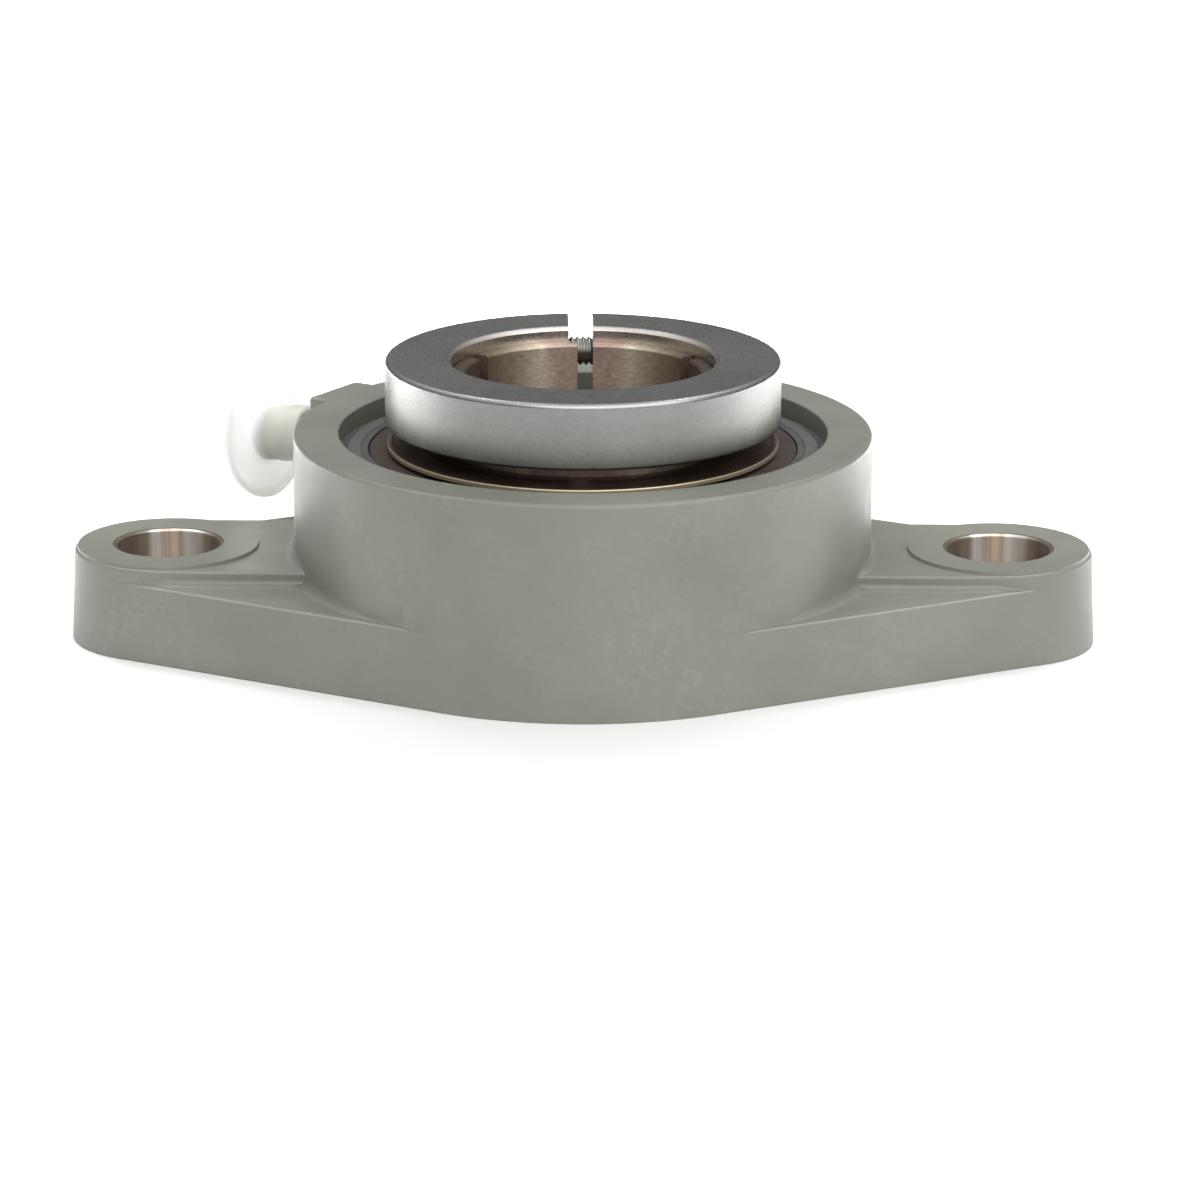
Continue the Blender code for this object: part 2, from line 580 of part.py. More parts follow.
def make_collar(parts, cutters, steel, screw_steel):
    """The split clamping collar and its cap screw, turned together about Z."""
    turn = Matrix.Rotation(COLLAR_TURN, 4, "Z")
    middle = (COLLAR_BOTTOM + COLLAR_TOP) / 2
    collar = turned("locking_collar", [
        (COLLAR_RADIUS - COLLAR_OUTER_EDGE, COLLAR_TOP), (COLLAR_RADIUS, COLLAR_TOP - COLLAR_OUTER_EDGE),
        (COLLAR_RADIUS, COLLAR_BOTTOM + COLLAR_LOWER_EDGE),
        (COLLAR_RADIUS - COLLAR_LOWER_EDGE, COLLAR_BOTTOM),
        (COLLAR_BORE_RADIUS, COLLAR_BOTTOM), (COLLAR_BORE_RADIUS, COLLAR_TOP - COLLAR_INNER_EDGE),
        (COLLAR_BORE_RADIUS + COLLAR_INNER_EDGE, COLLAR_TOP),
    ], RING_STEPS, parts, steel)
    collar.matrix_world = turn
    wall = COLLAR_RADIUS - COLLAR_BORE_RADIUS
    split = block("collar_split", (COLLAR_SPLIT, wall + 6.0, COLLAR_TOP - COLLAR_BOTTOM + 2.0),
                  (0.0, 0.0, 0.0), cutters)
    split.matrix_world = turn @ Matrix.Translation(
        Vector((0.0, (COLLAR_RADIUS + COLLAR_BORE_RADIUS) / 2, middle)) * MM)
    combine(collar, split, "DIFFERENCE")
    along = Matrix.Rotation(pi / 2, 4, "Y")
    screw_frame = turn @ Matrix.Translation(Vector((0.0, SCREW_DISTANCE, middle)) * MM) @ along
    hole_radius = SCREW_SHANK_RADIUS + SCREW_HOLE_GAP
    counterbore = SCREW_HEAD_RADIUS + COUNTERBORE_GAP
    seat = SCREW_HEAD_START - SCREW_HEAD_GAP
    hole_end = SCREW_TIP - SCREW_TIP_GAP
    drill = turned("collar_screw_hole", [
        (0.0, COUNTERBORE_END), (counterbore, COUNTERBORE_END), (counterbore, seat),
        (hole_radius, seat), (hole_radius, hole_end), (0.0, hole_end),
    ], SMALL_STEPS, cutters, closed=False)
    drill.matrix_world = screw_frame
    combine(collar, drill, "DIFFERENCE")
    head_end = SCREW_HEAD_START + SCREW_HEAD_LENGTH
    screw = turned("collar_screw", [
        (0.0, head_end), (SCREW_HEAD_RADIUS - SCREW_HEAD_EDGE, head_end),
        (SCREW_HEAD_RADIUS, head_end - SCREW_HEAD_EDGE), (SCREW_HEAD_RADIUS, SCREW_HEAD_START),
        (SCREW_SHANK_RADIUS, SCREW_HEAD_START), (SCREW_SHANK_RADIUS, SCREW_TIP + SCREW_TIP_EDGE),
        (SCREW_SHANK_RADIUS - SCREW_TIP_EDGE, SCREW_TIP), (0.0, SCREW_TIP),
    ], SMALL_STEPS, parts, screw_steel, closed=False)
    screw.matrix_world = screw_frame
    socket = prism("screw_socket", 6, SCREW_SOCKET_FLATS / sqrt(3), head_end - SCREW_SOCKET_DEPTH,
                   head_end + 1.0, cutters)
    socket.matrix_world = screw_frame
    combine(screw, socket, "DIFFERENCE")


def main():
    """Build every sub-part of the bearing."""
    clear_scene()
    parts = new_collection(OBJECT_NAME)
    cutters = new_collection("cutters")
    grey_plastic = material("housing_plastic", (0.245, 0.25, 0.215), 0.5, 0.0)
    white_plastic = material("cap_plastic", (0.86, 0.86, 0.82), 0.35, 0.0)
    nylon = material("cage_nylon", (0.62, 0.56, 0.42), 0.5, 0.0)
    rubber = material("seal_rubber", (0.035, 0.026, 0.022), 0.6, 0.0)
    ring_steel = material("ring_steel", (0.36, 0.35, 0.34), 0.3, 1.0)
    ball_steel = material("ball_steel", (0.62, 0.62, 0.63), 0.12, 1.0)
    collar_steel = material("collar_steel", (0.55, 0.55, 0.54), 0.35, 1.0)
    screw_steel = material("screw_steel", (0.3, 0.29, 0.28), 0.35, 1.0)
    sleeve_steel = material("sleeve_steel", (0.6, 0.56, 0.53), 0.3, 1.0)
    zinc = material("yellow_zinc", (0.42, 0.36, 0.24), 0.35, 1.0)
    make_housing(parts, cutters, grey_plastic)
    make_sleeves(parts, sleeve_steel)
    make_fitting(parts, cutters, ball_steel, zinc)
    make_cap(parts, white_plastic)
    make_outer_ring(parts, cutters, ring_steel)
    make_inner_ring(parts, cutters, ring_steel)
    make_balls_and_cage(parts, cutters, ball_steel, nylon)
    make_seals(parts, rubber, zinc)
    make_collar(parts, cutters, collar_steel, screw_steel)
    for obj in parts.objects:
        if obj.type == "MESH":
            smooth(obj)


main()
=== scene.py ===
"""The looks of the flange mount bearing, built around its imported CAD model.

Lengths are millimetres until a mesh is made, and the row frame is the CAD's:
the shaft axis is Z, the mounting face is at z = 0, and X runs through the bolt holes.
"""

import json
from math import acos, asin, atan2, ceil, cos, degrees, hypot, pi, radians, sin, sqrt, tan

import bmesh
import bpy
from mathutils import Matrix, Vector


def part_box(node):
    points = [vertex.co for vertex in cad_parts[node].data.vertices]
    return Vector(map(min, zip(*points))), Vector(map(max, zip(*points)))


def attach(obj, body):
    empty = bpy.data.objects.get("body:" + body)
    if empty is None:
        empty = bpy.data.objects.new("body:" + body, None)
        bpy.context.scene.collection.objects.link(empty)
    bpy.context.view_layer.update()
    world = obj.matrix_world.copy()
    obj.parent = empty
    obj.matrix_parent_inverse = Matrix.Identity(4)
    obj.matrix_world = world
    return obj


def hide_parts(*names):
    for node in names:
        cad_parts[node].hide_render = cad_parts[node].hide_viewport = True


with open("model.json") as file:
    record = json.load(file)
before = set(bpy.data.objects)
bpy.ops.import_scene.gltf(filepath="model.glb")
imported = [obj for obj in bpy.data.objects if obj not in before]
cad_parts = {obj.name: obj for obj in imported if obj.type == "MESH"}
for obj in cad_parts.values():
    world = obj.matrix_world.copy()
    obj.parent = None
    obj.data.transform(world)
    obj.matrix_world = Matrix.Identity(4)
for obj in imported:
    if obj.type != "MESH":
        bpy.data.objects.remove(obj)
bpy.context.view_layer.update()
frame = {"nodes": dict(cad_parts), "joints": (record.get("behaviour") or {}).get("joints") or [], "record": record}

MM = 0.001


# ---- sizes from the frame

def corners(node):
    """Lowest and highest corner of a CAD node, in millimetres."""
    low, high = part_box(node)
    return Vector(low) / MM, Vector(high) / MM


def mount(name):
    """Place of a mount of the record, in millimetres."""
    found = [m for m in frame["record"]["mounts"] if m["name"] == name][0]
    return Vector(found["pos_m"]) / MM


def joint(name):
    """Place and axis of a joint, in millimetres."""
    found = [j for j in frame["joints"] if j["name"] == name][0]
    place = Vector(found.get("pos_m", (0.0, 0.0, 0.0))) / MM
    return place, Vector(found["axis"]).normalized()


HOUSING_HIGH = corners("housing")[1]
SLEEVE_LOW, SLEEVE_HIGH = corners("bolt_sleeve_right")
OUTER_LOW, OUTER_HIGH = corners("outer_ring")
INNER_LOW, INNER_HIGH = corners("inner_ring")
COLLAR_LOW, COLLAR_HIGH = corners("locking_collar")
FLINGER_LOW, FLINGER_HIGH = corners("flinger_front")
SEAL_HIGH = corners("seal_front")[1]
CAGE_LOW, CAGE_HIGH = corners("cage")
BALL_LOW, BALL_HIGH = corners("ball_1")
SCREW_PLACE, SCREW_AXIS = joint("collar_screw_turn")
CAP_AXIS = joint("grease_cap_pull")[1]

BOLT_OFFSET = (SLEEVE_LOW.x + SLEEVE_HIGH.x) / 2
INSIDE_CAD = 0.02
END_RADIUS = HOUSING_HIGH.x - BOLT_OFFSET - INSIDE_CAD
BOSS_HEIGHT = mount("bolt_seat_right").z
BALL_CENTRE = (OUTER_LOW.z + OUTER_HIGH.z) / 2
BALL_RADIUS = (BALL_HIGH.z - BALL_LOW.z) / 2
BALL_CIRCLE = (BALL_LOW.x + BALL_HIGH.x) / 2
BALL_COUNT = sum(1 for name in frame["nodes"] if name.startswith("ball_"))
SLEEVE_OUTER = SLEEVE_HIGH.x - BOLT_OFFSET
INSERT_TOP = OUTER_HIGH.z
HUB_TOP = HOUSING_HIGH.z
COLLAR_TURN = atan2(SCREW_AXIS.y, SCREW_AXIS.x)
FITTING_AZIMUTH = atan2(CAP_AXIS.y, CAP_AXIS.x)

# The housing, in millimetres.
HUB_RADIUS = 45.15
HUB_DRAFT = 0.05
LEDGE_HEIGHT = 12.24
FLANGE_MIDDLE = HUB_RADIUS - 0.03
FLANGE_EDGE = 0.3
FLANGE_DRAFT = 0.03
END_DRAFT = 0.55
WEB_HEIGHT = 14.5
BOSS_RADIUS = 14.25
RIM_BORE = 38.0
COVER_GROOVE = 36.7
COVER_GROOVE_DEPTH = 0.7
BACK_BORE = 37.0
BACK_BORE_DEPTH = 11.5
SEAT_GAP = 0.05
NOTCH_WIDTH = 20.8
NOTCH_REACH = 36.4
FITTING_PAD = 48.0
FITTING_HEIGHT = 26.4
PAD_WIDTH = 12.8

# The cap's sleeve and disc, as distances from the shaft's axis, in millimetres.
STEM_END = 59.0
DISC_START = 61.0

# The insert and its collar, in millimetres.
SHAFT_BORE = 18.256
FINGER_RADIUS = 20.45
COLLAR_RADIUS = 30.77
COLLAR_BORE = 20.55
SPLIT_WIDTH = 3.9


# ---- outlines

def rounded(points, closed=True, step=12.0):
    """Replace each (x, y, radius) corner by an arc; an (x, y) corner stays sharp."""
    made = []
    count = len(points)
    for index, point in enumerate(points):
        radius = point[2] if len(point) > 2 else 0.0
        at_end = not closed and index in (0, count - 1)
        corner = Vector(point[:2])
        if radius <= 0.0 or at_end:
            made.append(tuple(corner))
            continue
        back = (Vector(points[index - 1][:2]) - corner).normalized()
        ahead = (Vector(points[(index + 1) % count][:2]) - corner).normalized()
        half = back.angle(ahead) / 2
        centre = corner + (back + ahead).normalized() * radius / sin(half)
        start = corner + back * radius / tan(half) - centre
        turn = start.angle_signed(corner + ahead * radius / tan(half) - centre)
        pieces = max(2, ceil(abs(degrees(turn)) / step))
        for piece in range(pieces + 1):
            angle = -turn * piece / pieces
            made.append((centre.x + start.x * cos(angle) - start.y * sin(angle),
                         centre.y + start.x * sin(angle) + start.y * cos(angle)))
    return made


def arc(centre, radius, start, end, steps):
    """Points of an arc in degrees, both ends included."""
    angles = [radians(start + (end - start) * step / steps) for step in range(steps + 1)]
    return [(centre[0] + radius * cos(a), centre[1] + radius * sin(a)) for a in angles]


def inset(points, distances):
    """Move each point of a counter-clockwise outline inwards by its own distance."""
    made = []
    count = len(points)
    for index, (x, y) in enumerate(points):
        before, after = points[index - 1], points[(index + 1) % count]
        along = Vector((after[0] - before[0], after[1] - before[1])).normalized()
        made.append((x - along.y * distances[index], y + along.x * distances[index]))
    return made


def divided(points, longest):
    """Add points to an open outline until no stretch is longer than a length."""
    made = [points[0]]
    for first, second in zip(points, points[1:]):
        pieces = max(1, ceil(hypot(second[0] - first[0], second[1] - first[1]) / longest))
        for piece in range(1, pieces + 1):
            share = piece / pieces
            made.append((first[0] + (second[0] - first[0]) * share,
                         first[1] + (second[1] - first[1]) * share))
    return made


def flange_lean(end_radius, middle_radius):
    """Angle of the normal on a straight side of the flange, from Y towards X, in degrees."""
    return degrees(asin((middle_radius - end_radius) / BOLT_OFFSET))


def flange_outline(end_radius, middle_radius):
    """The rhombic outline, counter-clockwise."""
    lean = flange_lean(end_radius, middle_radius)
    outline = arc((BOLT_OFFSET, 0.0), end_radius, lean - 90, 90 - lean, 64)
    outline += arc((0.0, 0.0), middle_radius, 90 - lean, 90 + lean, 40)
    outline += arc((-BOLT_OFFSET, 0.0), end_radius, 90 + lean, 270 - lean, 64)
    outline += arc((0.0, 0.0), middle_radius, 270 - lean, 270 + lean, 40)
    return outline


# ---- meshes

def piece_from(work, name):
    """Turn a bmesh in millimetres into an object of the row frame."""
    bmesh.ops.remove_doubles(work, verts=work.verts, dist=0.0005)
    bmesh.ops.recalc_face_normals(work, faces=work.faces)
    bmesh.ops.scale(work, vec=(MM, MM, MM), verts=work.verts)
    mesh = bpy.data.meshes.new(name)
    work.to_mesh(mesh)
    work.free()
    made = bpy.data.objects.new(name, mesh)
    bpy.context.scene.collection.objects.link(made)
    return made


def turned(name, profile, steps=192):
    """Turn a closed profile of (radius, height) points about Z."""
    work = bmesh.new()
    rings = []
    for radius, height in profile:
        if radius < 0.0001:
            rings.append([work.verts.new((0.0, 0.0, height))] * steps)
            continue
        ring = []
        for step in range(steps):
            angle = 2 * pi * step / steps
            ring.append(work.verts.new((radius * cos(angle), radius * sin(angle), height)))
        rings.append(ring)
    for index, ring in enumerate(rings):
        after = rings[(index + 1) % len(rings)]
        for step in range(steps):
            following = (step + 1) % steps
            face = [ring[step], ring[following], after[following], after[step]]
            unique = list(dict.fromkeys(face))
            if len(unique) > 2:
                work.faces.new(unique)
    return piece_from(work, name)


def lofted(name, rings):
    """Join rings of equal point counts into a closed solid with flat ends."""
    work = bmesh.new()
    made = [[work.verts.new(point) for point in ring] for ring in rings]
    count = len(made[0])
    for lower, upper in zip(made, made[1:]):
        for index in range(count):
            following = (index + 1) % count
            work.faces.new((lower[index], lower[following], upper[following], upper[index]))
    work.faces.new(list(reversed(made[0])))
    work.faces.new(made[-1])
    return piece_from(work, name)


def lifted(points, height):
    """Put a flat outline at a height."""
    return [(x, y, height) for x, y in points]


def rounded_box(name, size, centre, edge, segments=4):
    """A box with rounded edges, about its own centre."""
    work = bmesh.new()
    bmesh.ops.create_cube(work, size=1.0)
    bmesh.ops.scale(work, vec=size, verts=work.verts)
    if edge > 0.0:
        bmesh.ops.bevel(work, geom=list(work.edges), offset=edge, segments=segments,
                        profile=0.5, affect="EDGES")
    bmesh.ops.translate(work, vec=centre, verts=work.verts)
    return piece_from(work, name)


def prism(name, sides, radius, bottom, top):
    """A straight prism about Z."""
    ring = [(radius * cos(2 * pi * k / sides), radius * sin(2 * pi * k / sides)) for k in range(sides)]
    return lofted(name, [lifted(ring, bottom), lifted(ring, top)])


def ball(name, radius, subdivisions=4):
    """A ball about the origin."""
    work = bmesh.new()
    bmesh.ops.create_icosphere(work, subdivisions=subdivisions, radius=radius)
    return piece_from(work, name)


def bake(obj):
    """Apply an object's modifiers and its place to its mesh."""
    bpy.context.view_layer.update()
    graph = bpy.context.evaluated_depsgraph_get()
    mesh = bpy.data.meshes.new_from_object(obj.evaluated_get(graph))
    mesh.transform(obj.matrix_world)
    obj.modifiers.clear()
    spent = obj.data
    obj.data = mesh
    obj.matrix_world = Matrix.Identity(4)
    bpy.data.meshes.remove(spent)
    mesh.name = obj.name
    return obj


def carve(obj, tool, operation="DIFFERENCE"):
    """Cut a tool away from an object, or join it on, and remove the tool."""
    change = obj.modifiers.new("carve", "BOOLEAN")
    change.operation = operation
    change.solver = "EXACT"
    change.object = tool
    bake(obj)
    spent = tool.data
    bpy.data.objects.remove(tool, do_unlink=True)
    bpy.data.meshes.remove(spent)
    return obj


def placed(obj, matrix):
    """Move an object by a matrix given in millimetres."""
    metres = matrix.copy()
    metres.translation = matrix.translation * MM
    obj.matrix_world = metres
    return bake(obj)


def eased(obj, width=0.0, limit=35.0):
    """Round what is still a hard edge, and shade flats flat and rounds smooth."""
    obj.data.shade_smooth()
    if width > 0.0:
        edge = obj.modifiers.new("edges", "BEVEL")
        edge.width = width * MM
        edge.segments = 3
        edge.limit_method = "ANGLE"
        edge.angle_limit = radians(limit)
        edge.use_clamp_overlap = True
        edge.miter_outer = "MITER_ARC"
        bake(obj)
    obj.data.shade_smooth()
    obj.data.set_sharp_from_angle(angle=radians(limit + 10.0))
    weigh = obj.modifiers.new("normals", "WEIGHTED_NORMAL")
    weigh.keep_sharp = True
    weigh.weight = 80
    return obj


def aligned(place, axis):
    """A frame at a place in millimetres, with Z along an axis."""
    turn = Vector((0.0, 0.0, 1.0)).rotation_difference(axis).to_matrix().to_4x4()
    return Matrix.Translation(place) @ turn


def fitting_frame():
    """A frame on the fitting's axis, at its pad, with Z pointing outwards."""
    across = FITTING_PAD * cos(FITTING_AZIMUTH)
    back = FITTING_PAD * sin(FITTING_AZIMUTH)
    return aligned((across, back, FITTING_HEIGHT), CAP_AXIS)


# ---- materials

class Nodes:
    """A material's node tree, with short calls for the nodes used here."""

    def __init__(self, name):
        """A new material with its shader and its object coordinates."""
        self.material = bpy.data.materials.new(name)
        self.material.use_nodes = True
        self.tree = self.material.node_tree
        self.shader = self.tree.nodes["Principled BSDF"]
        self.place = self.add("ShaderNodeTexCoord").outputs["Object"]

    def add(self, kind, **settings):
        """A new node."""
        node = self.tree.nodes.new(kind)
        for key, value in settings.items():
            setattr(node, key, value)
        return node

    def join(self, source, target):
        """Link an output to an input."""
        self.tree.links.new(source, target)

    def feed(self, sockets, values):
        """Give each socket its number or its link."""
        for socket, value in zip(sockets, values):
            if isinstance(value, (int, float)):
                socket.default_value = value
            else:
                self.join(value, socket)

    def maths(self, operation, *values):
        """One sum of numbers or outputs."""
        node = self.add("ShaderNodeMath", operation=operation)
        self.feed(node.inputs, values)
        return node.outputs[0]

    def vector(self, x, y, z):
        """A vector from three numbers or outputs."""
        node = self.add("ShaderNodeCombineXYZ")
        self.feed(node.inputs, (x, y, z))
        return node.outputs[0]

    def around_axis(self):
        """Distance from Z, turn about Z in radians, and height."""
        split = self.add("ShaderNodeSeparateXYZ")
        self.join(self.place, split.inputs[0])
        x, y, z = split.outputs
        squared = self.maths("ADD", self.maths("MULTIPLY", x, x), self.maths("MULTIPLY", y, y))
        return self.maths("SQRT", squared), self.maths("ARCTAN2", y, x), z

    def noise(self, scale, detail=4.0, roughness=0.55, vector=None):
        """Noise over the object's own coordinates, or over a vector."""
        node = self.add("ShaderNodeTexNoise")
        for name, value in (("Scale", scale), ("Detail", detail), ("Roughness", roughness)):
            node.inputs[name].default_value = value
        self.join(vector or self.place, node.inputs["Vector"])
        return node.outputs["Fac"]

    def ramp(self, factor, stops):
        """A colour or grey for each stretch of a factor."""
        node = self.add("ShaderNodeValToRGB")
        band = node.color_ramp
        while len(band.elements) < len(stops):
            band.elements.new(0.5)
        for element, (place, colour) in zip(band.elements, stops):
            element.position = place
            element.color = (*colour, 1.0) if isinstance(colour, tuple) else (colour, colour, colour, 1.0)
        self.join(factor, node.inputs["Fac"])
        return node.outputs["Color"]

    def mottle(self, scale, detail, dark, light):
        """Noise between two colours or greys."""
        return self.ramp(self.noise(scale, detail), [(0.35, dark), (0.65, light)])

    def blend(self, factor, first, second):
        """One colour turning into another."""
        node = self.add("ShaderNodeMix", data_type="RGBA")
        self.join(factor, node.inputs[0])
        for socket, value in ((node.inputs[6], first), (node.inputs[7], second)):
            if isinstance(value, tuple):
                socket.default_value = (*value, 1.0)
            else:
                self.join(value, socket)
        return node.outputs[2]

    def share(self, value, low, high):
        """How far a value is from a low to a high, from 0 to 1."""
        node = self.add("ShaderNodeMapRange")
        node.inputs["From Min"].default_value = low
        node.inputs["From Max"].default_value = high
        self.join(value, node.inputs["Value"])
        return node.outputs[0]

    def product(self, strength, first, second):
        """One colour multiplied by another, at a strength."""
        node = self.add("ShaderNodeMix", data_type="RGBA", blend_type="MULTIPLY")
        node.inputs[0].default_value = strength
        self.join(first, node.inputs[6])
        self.join(second, node.inputs[7])
        return node.outputs[2]

    def bump(self, height, strength, distance, normal=None):
        """Small relief, on top of another relief if one is given."""
        node = self.add("ShaderNodeBump")
        node.inputs["Strength"].default_value = strength
        node.inputs["Distance"].default_value = distance
        self.join(height, node.inputs["Height"])
        if normal is not None:
            self.join(normal, node.inputs["Normal"])
        return node.outputs["Normal"]

    def set(self, **values):
        """Set the shader's sockets, and give back the finished material."""
        names = {"colour": "Base Color", "roughness": "Roughness", "metallic": "Metallic",
                 "normal": "Normal", "specular": "Specular IOR Level", "coat": "Coat Weight",
                 "coat_roughness": "Coat Roughness", "ior": "IOR", "subsurface": "Subsurface Weight",
                 "subsurface_scale": "Subsurface Scale",
                 "subsurface_radius": "Subsurface Radius", "edge_tint": "Specular Tint"}
        for key, value in values.items():
            socket = self.shader.inputs[names[key]]
            if isinstance(value, tuple):
                socket.default_value = value if key == "subsurface_radius" else (*value, 1.0)
            elif isinstance(value, (int, float)):
                socket.default_value = value
            else:
                self.join(value, socket)
        return self.material


def tone(colour, amount):
    """A colour made lighter or darker by a factor."""
    return tuple(channel * amount for channel in colour)


def edge_highlight(make, radius, height):
    """Painted highlight along the flange's upper edge, between the hub and the ends."""
    share = make.maths("DIVIDE", height, LEDGE_HEIGHT * MM)
    highlight_band = make.ramp(share, [(0.972, 0.0), (0.985, 1.0), (0.995, 1.0), (0.9985, 0.0)])
    beside = make.maths("MULTIPLY", make.maths("GREATER_THAN", radius, (HUB_RADIUS + 0.2) * MM),
                        make.maths("LESS_THAN", radius, (BOLT_OFFSET + 6.0) * MM))
    return make.maths("MULTIPLY", highlight_band, beside)


def moulded_plastic():
    """Greenish grey moulded plastic: flow mottling, clusters of light specks, painted shade in the recess, and a
    painted highlight along the flange's upper edge.
    """
    make = Nodes("moulded_housing")
    base = (0.218, 0.223, 0.187)
    radius, angle, height = make.around_axis()
    cloud = make.ramp(make.noise(55.0, 5.0), [(0.36, tone(base, 0.94)), (0.64, tone(base, 1.06))])
    clusters = make.ramp(make.noise(60.0, 3.0), [(0.50, 0.0), (0.66, 1.0)])
    specks = make.ramp(make.noise(750.0, 3.0), [(0.50, 0.0), (0.62, 0.5)])
    lit = make.blend(make.maths("MULTIPLY", clusters, specks), cloud, tone(base, 1.24))
    pits = make.ramp(make.noise(1900.0, 2.0), [(0.28, 0.72), (0.38, 1.0)])
    grained = make.product(0.35, lit, pits)
    # Painted shade: inside the rim's bore and below the hub's top, the recess gets a dark colour for the shade
    # that falls there.
    inside = make.maths("LESS_THAN", radius, (RIM_BORE - 0.1) * MM)
    sunk = make.maths("MULTIPLY", inside, make.maths("LESS_THAN", height, (HUB_TOP - 0.5) * MM))
    # Painted highlight: the flange's upper edge is drawn lighter, standing in for the edge's highlight line.
    edge_highlighted = make.blend(edge_highlight(make, radius, height), grained, tone(base, 1.45))
    colour = make.blend(sunk, edge_highlighted, (0.125, 0.128, 0.124))
    rough = make.mottle(160.0, 4.0, 0.33, 0.43)
    streaks = make.noise(500.0, 2.0, 0.5, make.vector(make.maths("MULTIPLY", angle, 0.045), 0.0,
                                                      make.maths("MULTIPLY", height, 0.15)))
    grain = make.bump(make.noise(1300.0, 3.0), 0.18, 0.00006)
    drawn = make.bump(streaks, 0.10, 0.00005, grain)
    swell = make.bump(make.noise(70.0, 2.0), 0.10, 0.0006, drawn)
    return make.set(colour=colour, roughness=rough, normal=swell, specular=0.5, coat=0.15,
                    coat_roughness=0.25)


def collar_steel():
    """The collar: turned satin steel with painted shade towards its foot, a painted highlight on its top edge, and
    a warmer bore brightened as a painted highlight on its chamfer.
    """
    make = Nodes("collar_steel")
    base, rough = (0.54, 0.54, 0.535), 0.30
    radius, angle, height = make.around_axis()
    along = make.vector(radius, make.maths("MULTIPLY", angle, 0.007), height)
    fine = make.noise(5200.0, 3.0, 0.6, along)
    coarse = make.noise(900.0, 2.0, 0.5, along)
    colour = make.mottle(60.0, 3.0, tone(base, 0.92), tone(base, 1.08))
    lined = make.product(0.3, colour, make.ramp(coarse, [(0.3, 0.86), (0.7, 1.0)]))
    satin = make.product(0.3, lined, make.mottle(1500.0, 3.0, 0.84, 1.0))
    roughness = make.ramp(fine, [(0.3, rough - 0.05), (0.7, rough + 0.07)])
    normal = make.bump(make.noise(2200.0, 2.0), 0.1, 0.00001, make.bump(fine, 0.25, 0.00002))
    rise = make.share(height, COLLAR_LOW.z * MM, COLLAR_HIGH.z * MM)
    # Painted shade and highlight: darker and greener towards the foot, white at the top edge as its highlight.
    height_shading = make.ramp(rise, [(0.0, (0.50, 0.51, 0.46)), (0.5, (0.62, 0.63, 0.595)),
                           (0.93, (0.67, 0.67, 0.665)), (1.0, (1.0, 1.0, 1.0))])
    height_shaded = make.product(1.0, satin, height_shading)
    # The bore and its chamfer: a warmer tone, made light as a painted highlight on the chamfer.
    bore_tint_highlight = make.maths("LESS_THAN", radius, (COLLAR_BORE + 0.45) * MM)
    colour = make.blend(bore_tint_highlight, height_shaded, (0.76, 0.71, 0.66))
    return make.set(colour=colour, metallic=1.0, roughness=roughness, normal=normal,
                    edge_tint=(0.55, 0.55, 0.55))


def ground_steel(name, base, rough):
    """Smooth ground or polished steel with faint handling marks."""
    make = Nodes(name)
    haze = make.noise(220.0, 4.0)
    colour = make.mottle(90.0, 3.0, tone(base, 0.92), tone(base, 1.05))
    roughness = make.ramp(haze, [(0.35, rough - 0.03), (0.68, rough + 0.07)])
    normal = make.bump(make.noise(2600.0, 2.0), 0.2, 0.000008)
    return make.set(colour=colour, metallic=1.0, roughness=roughness, normal=normal)


def bore_steel():
    """The inner ring: a brown bore with light and shade painted by azimuth, lit pinkish brown at +Y and -Y with a
    painted highlight band, dark brown painted shade on the sides, and wavy lines.
    """
    make = Nodes("inner_ring_steel")
    radius, angle, height = make.around_axis()
    # Painted light and shade by azimuth: lit towards +Y and -Y with a painted highlight band, painted shade on the
    # sides.
    azimuth_light = make.maths("ABSOLUTE", make.maths("SINE", angle))
    sway = make.maths("MULTIPLY", make.maths("SUBTRACT", make.noise(160.0, 2.0), 0.5), 0.06)
    colour = make.ramp(make.maths("ADD", azimuth_light, sway), [
        (0.45, (0.12, 0.085, 0.065)), (0.64, (0.26, 0.20, 0.14)), (0.76, (0.38, 0.32, 0.22)),
        (0.85, (0.56, 0.47, 0.36)), (0.93, (0.82, 0.74, 0.58)), (0.97, (0.60, 0.45, 0.38)),
        (1.0, (0.52, 0.38, 0.32))])
    wavy = make.vector(make.maths("MULTIPLY", angle, 0.0055), radius,
                       make.maths("ADD", height, make.maths("MULTIPLY", make.noise(260.0, 2.0), 0.0012)))
    lines = make.noise(2300.0, 3.0, 0.6, wavy)
    specks = make.ramp(make.noise(2100.0, 2.0), [(0.40, 0.80), (0.58, 1.0)])
    worn = make.product(0.6, colour, specks)
    scored = make.product(0.7, worn, make.ramp(lines, [(0.35, 0.64), (0.60, 1.0)]))
    roughness = make.ramp(lines, [(0.3, 0.34), (0.7, 0.48)])
    normal = make.bump(lines, 0.5, 0.00002)
    return make.set(colour=scored, metallic=0.55, roughness=roughness, normal=normal)


